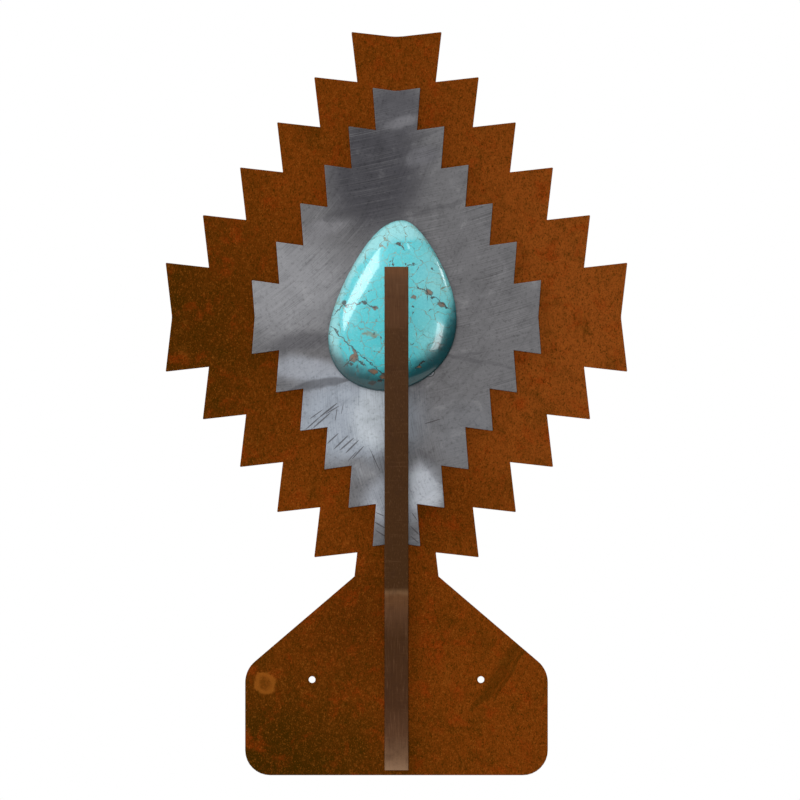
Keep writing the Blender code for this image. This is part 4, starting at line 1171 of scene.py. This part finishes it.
# Its first layer paints a highlight on the rim high on the left, outside the highlight core.
colour = layered(
    tree,
    colour,
    (oval(tree, ragged, *STONE_HIGHLIGHT_CORE, origin=axle), 0.03, -0.004, 0.42, STONE_RIM_HIGHLIGHT),
    (cloud, 0.5, 0.3, 0.35, paint(74, 176, 190)),
    (cloud, 0.52, 0.75, 0.35, paint(140, 212, 216)),
    (sugar, 0.5, 0.28, 0.3, paint(40, 150, 164)),
    (sugar, 0.54, 0.76, 0.3, paint(150, 220, 222)),
)
colour = over(tree, maths(tree, "MULTIPLY", crackle, 0.6), colour, STONE_FAINT)
colour = over(tree, filled, colour, STONE_VEIN)
colour = over(tree, maths(tree, "MULTIPLY", clotted, 0.8), colour, STONE_DARK)
colour = over(tree, fine_vein, colour, paint(84, 128, 120))
# Painted shade on the rim low on the right, outside the shade core.
colour = layered(tree, colour, (oval(tree, ragged, *STONE_SHADE_CORE, origin=axle), 0.14, 0.0, 0.96, STONE_RIM_SHADE))
for middle, half_sizes in STONE_PATCHES:
    mask = oval(tree, ragged, middle, half_sizes, origin=axle)
    colour = layered(tree, colour, (mask, 0.15, 0.4, 0.75, STONE_DARK))
    mask = maths(tree, "MULTIPLY", spread(tree, mask, 0.3, 0.6), spread(tree, clots, 0.35, 0.6, 0.3, 0.85))
    colour = over(tree, mask, colour, STONE_RUSTY)
for middle, radius in STONE_SPECKS:
    mask = oval(tree, ragged, middle, (radius, 0.8 * radius), origin=axle)
    colour = layered(tree, colour, (mask, 0.2, 0.6, 0.9, STONE_DARK))
cracks = [(*pair, STONE_CRACK_WIDE) for pair in zip(STONE_CRACK[:-1], STONE_CRACK[1:])]
cracks += [(*pair, STONE_LINE_WIDE) for pair in STONE_LINES]
sunk_in = vein
for start, end, width in cracks:
    mark = line(tree, ragged, start, end, width, axle)
    colour = over(tree, maths(tree, "MULTIPLY", mark, 0.85), colour, STONE_DARK)
    sunk_in = maths(tree, "MAXIMUM", sunk_in, mark)
tree.links.new(colour, shader.inputs["Base Color"])
waves = bumped(tree, noise(tree, spot, 55, 1), 0.0004)
tree.links.new(bumped(tree, maths(tree, "SUBTRACT", 1.0, sunk_in), 0.00006, waves), shader.inputs["Normal"])


def stone_width(side, along):
    """Half-width at a share of the half-length: width x (1 - taper x share + fullness x share**2)."""
    width, taper, fullness = side
    return width * (1 - taper * along + fullness * along**2)


def stone_outline(steps=192):
    """The egg's outline about the axle: an oval whose half-width changes along it, leaning to the right."""
    angle = np.arange(steps) * 2 * math.pi / steps
    along = -np.cos(angle)
    across = np.sin(angle)
    u = across * np.where(across > 0, stone_width(STONE_RIGHT, along), stone_width(STONE_LEFT, along))
    v = along * STONE_HALF_LONG
    x = STONE_MIDDLE[0] + u * math.cos(STONE_LEAN) + v * math.sin(STONE_LEAN)
    z = STONE_MIDDLE[1] - u * math.sin(STONE_LEAN) + v * math.cos(STONE_LEAN)
    return np.stack([x, z], axis=1)


def stone_height(points, high):
    """Height over the flat back: girdle + dome x (1 - share**2.4)**0.5, for a share of the way to the rim."""
    x = points[..., 0] - STONE_MIDDLE[0]
    z = points[..., 1] - STONE_MIDDLE[1]
    u = x * math.cos(STONE_LEAN) - z * math.sin(STONE_LEAN)
    v = (x * math.sin(STONE_LEAN) + z * math.cos(STONE_LEAN)) / STONE_HALF_LONG
    width = np.where(u > 0, stone_width(STONE_RIGHT, v), stone_width(STONE_LEFT, v))
    share = np.clip(np.sqrt(v**2 + (u / width) ** 2), 0, 1)
    return STONE_GIRDLE + (high - STONE_GIRDLE) * np.sqrt(np.clip(1 - share**STONE_ROUND, 0, 1))


def cabochon(name, back, front, rows=44):
    """Rings from the bore out over the dome to the rim, and back along the flat base to the bore.

    A ring's share of the way out is sin(t) ** (1 / 1.2) for even steps of t, which packs rings at the rim.
    The ring STONE_BORE_BREAK of the way out ends the bore's broken edge.
    """
    outer = stone_outline()
    bore = outer / np.linalg.norm(outer, axis=1)[:, None] * (SLEEVE_RADIUS + SLACK)
    share = np.sin(np.linspace(0, math.pi / 2, rows)) ** (1 / 1.2)
    share = np.concatenate([[0, STONE_BORE_BREAK], share[1:]])
    rings = bore + share[:, None, None] * (outer - bore)
    height = stone_height(rings, front - back)
    height[0] -= BREAK
    base = [outer, outer * (1 - STONE_FOOT / STONE_HALF_LONG), bore * 1.03, bore]
    rise = np.array([STONE_FOOT, 0, 0, BREAK])[:, None] + np.zeros(len(outer))
    rings = np.concatenate([rings, base])
    depth = back + np.concatenate([height, rise])
    points = np.stack([rings[..., 0] + axle[0], -depth, rings[..., 1] + axle[1]], axis=-1)
    return solid(name, points.reshape(-1, 3), grid_faces(len(points), len(outer), wrap=True))


low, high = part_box("turquoise_stone")
stone = cabochon("turquoise_cabochon", -high.y, -low.y)
fit(stone, "rotor", "turquoise", turquoise, "turquoise_stone")

# --------------------------------------
# Floor and light. A pale floor lies well below. The room is white, brightest up to the left, and a round lamp
# over the camera lights everything flatly. Long lamps show only as reflections, most of all on the stone.
FLOOR_DROP = 1.2
FLOOR_RADIUS = 1.5
ROOM_BRIGHT = (-0.5, -0.6, 0.62)
ROOM_DARK = (0.5, -0.15, -0.85)
ROOM_LOW = 0.30
ROOM_HIGH = 1.45
ROOM_CORNER = 0.03
ROOM_DIFFUSE = 0.4
LAMP_AWAY = 7.6
LAMP_WIDE = 1.2
LAMP_SHARE = 0.6
STONE_LAMP = (-5, 20)
STONE_LAMP_WIDE = 0.5
STONE_LAMP_SHARE = 0.64
BACK_LAMP = (150, 30)
BACK_LAMP_WIDE = 2.4
BACK_LAMP_SHARE = 0.6
STRIP_AWAY = 1.6
# Ends as (bearing from the front, rise) in degrees, width in degrees, brightness
STRIPS = (
    ((-22.4, 23.9), (-43.3, 4.8), 20, 7.6),
    ((34.5, -4.3), (32.2, -19.6), 11, 7.0),
    ((95.7, 27.5), (73.0, 20.0), 5, 8.0),
    ((14.0, 24.6), (17.6, 24.6), 3.6, 8.0),
    ((27.0, 61.6), (31.0, 61.6), 5, 8.0),
)

angle = np.arange(96) * 2 * math.pi / 96
rim = np.stack([np.cos(angle), np.sin(angle), 0 * angle], axis=1) * FLOOR_RADIUS + (0, 0, -FLOOR_DROP)
floor = bpy.data.objects.new("floor", bpy.data.meshes.new("floor"))
floor.data.from_pydata(rim.tolist(), [], [list(range(len(rim)))])
scene.collection.objects.link(floor)
plaster, tree, shader, spot = new_finish("pale_floor", specular=0.2)
tone = noise(tree, spot, 6, 4, 0.5)
tree.links.new(over(tree, tone, paint(232, 230, 226), paint(240, 239, 236)), shader.inputs["Base Color"])
shader.inputs["Roughness"].default_value = 0.8
floor.data.materials.append(plaster)

scene.view_settings.view_transform = "Standard"
scene.world = bpy.data.worlds.new("white_room")
scene.world.use_nodes = True
tree = scene.world.node_tree
ray = node(tree, "LightPath").outputs
direction = node(tree, "TexCoord").outputs["Generated"]
facing = vectors(tree, "DOT_PRODUCT", direction, tuple(Vector(ROOM_BRIGHT).normalized()))
room = spread(tree, facing, -0.9, 1.0, ROOM_LOW, ROOM_HIGH)
shaded = vectors(tree, "DOT_PRODUCT", direction, tuple(Vector(ROOM_DARK).normalized()))
shaded = spread(tree, shaded, 0.1, 0.75)
room = node(tree, "Mix", {0: shaded, 2: room, 3: ROOM_CORNER}).outputs[0]
dimmed = maths(tree, "MULTIPLY", room, ROOM_DIFFUSE)
room = node(tree, "Mix", {0: ray["Is Diffuse Ray"], 2: room, 3: dimmed}).outputs[0]
room = node(tree, "Mix", {0: ray["Is Camera Ray"], 2: room, 3: 1.0}).outputs[0]
tree.links.new(room, tree.nodes["Background"].inputs["Strength"])
tree.nodes["Background"].inputs["Color"].default_value = (1, 1, 1, 1)


def toward(bearing, rise):
    """Unit direction: bearing turns from the front (-Y) towards +X, rise lifts it."""
    bearing, rise = math.radians(bearing), math.radians(rise)
    return Vector((math.sin(bearing) * math.cos(rise), -math.cos(bearing) * math.cos(rise), math.sin(rise)))


def lamp(name, target, direction, away, along, wide, tall, brightness):
    """An area lamp at a distance from its target, facing it, with one side lying along a direction."""
    light = bpy.data.lights.new(name, "AREA")
    light.shape = "RECTANGLE" if wide != tall else "DISK"
    light.size = wide
    if wide != tall:
        light.size_y = tall
    area = wide * tall if wide != tall else math.pi * wide**2 / 4
    light.energy = brightness * math.pi * area
    back = direction.normalized()
    right = (along - along.dot(back) * back).normalized()
    matrix = Matrix((right, back.cross(right), back)).transposed().to_4x4()
    matrix.translation = target + back * away
    stand = bpy.data.objects.new(name, light)
    stand.matrix_world = matrix
    scene.collection.objects.link(stand)
    return stand


centre = Vector((axle[0], -panel_front, axle[1]))


def round_lamp(name, direction, away, wide, share):
    """A round lamp that lights its target as a share of a white room does: share x (2 x away / wide)**2."""
    return lamp(name, centre, direction, away, Vector((1, 0, 0)), wide, wide, share * (2 * away / wide) ** 2)


stone_only = bpy.data.collections.new("stone_only")
stone_only.objects.link(stone)
all_but_stone = bpy.data.collections.new("all_but_stone")
all_but_stone.objects.link(stone)
all_but_stone.collection_objects[0].light_linking.link_state = "EXCLUDE"
front_lamp = round_lamp("front_lamp", toward(0, 0), LAMP_AWAY, LAMP_WIDE, LAMP_SHARE)
front_lamp.visible_glossy = False
front_lamp.light_linking.receiver_collection = all_but_stone
stone_lamp = round_lamp("stone_lamp", toward(*STONE_LAMP), STRIP_AWAY, STONE_LAMP_WIDE, STONE_LAMP_SHARE)
stone_lamp.visible_glossy = False
stone_lamp.light_linking.receiver_collection = stone_only
stone_lamp.light_linking.blocker_collection = stone_only
back_lamp = round_lamp("back_lamp", toward(*BACK_LAMP), LAMP_AWAY, BACK_LAMP_WIDE, BACK_LAMP_SHARE)
back_lamp.visible_camera = False
for number, (start, end, width, brightness) in enumerate(STRIPS):
    start, end = toward(*start), toward(*end)
    wide = 2 * STRIP_AWAY * math.tan(start.angle(end) / 2)
    tall = 2 * STRIP_AWAY * math.tan(math.radians(width) / 2)
    strip = lamp(f"strip_{number}", centre, start + end, STRIP_AWAY, end - start, wide, tall, brightness)
    strip.visible_diffuse = False
    strip.light_linking.receiver_collection = stone_only
    strip.visible_camera = False
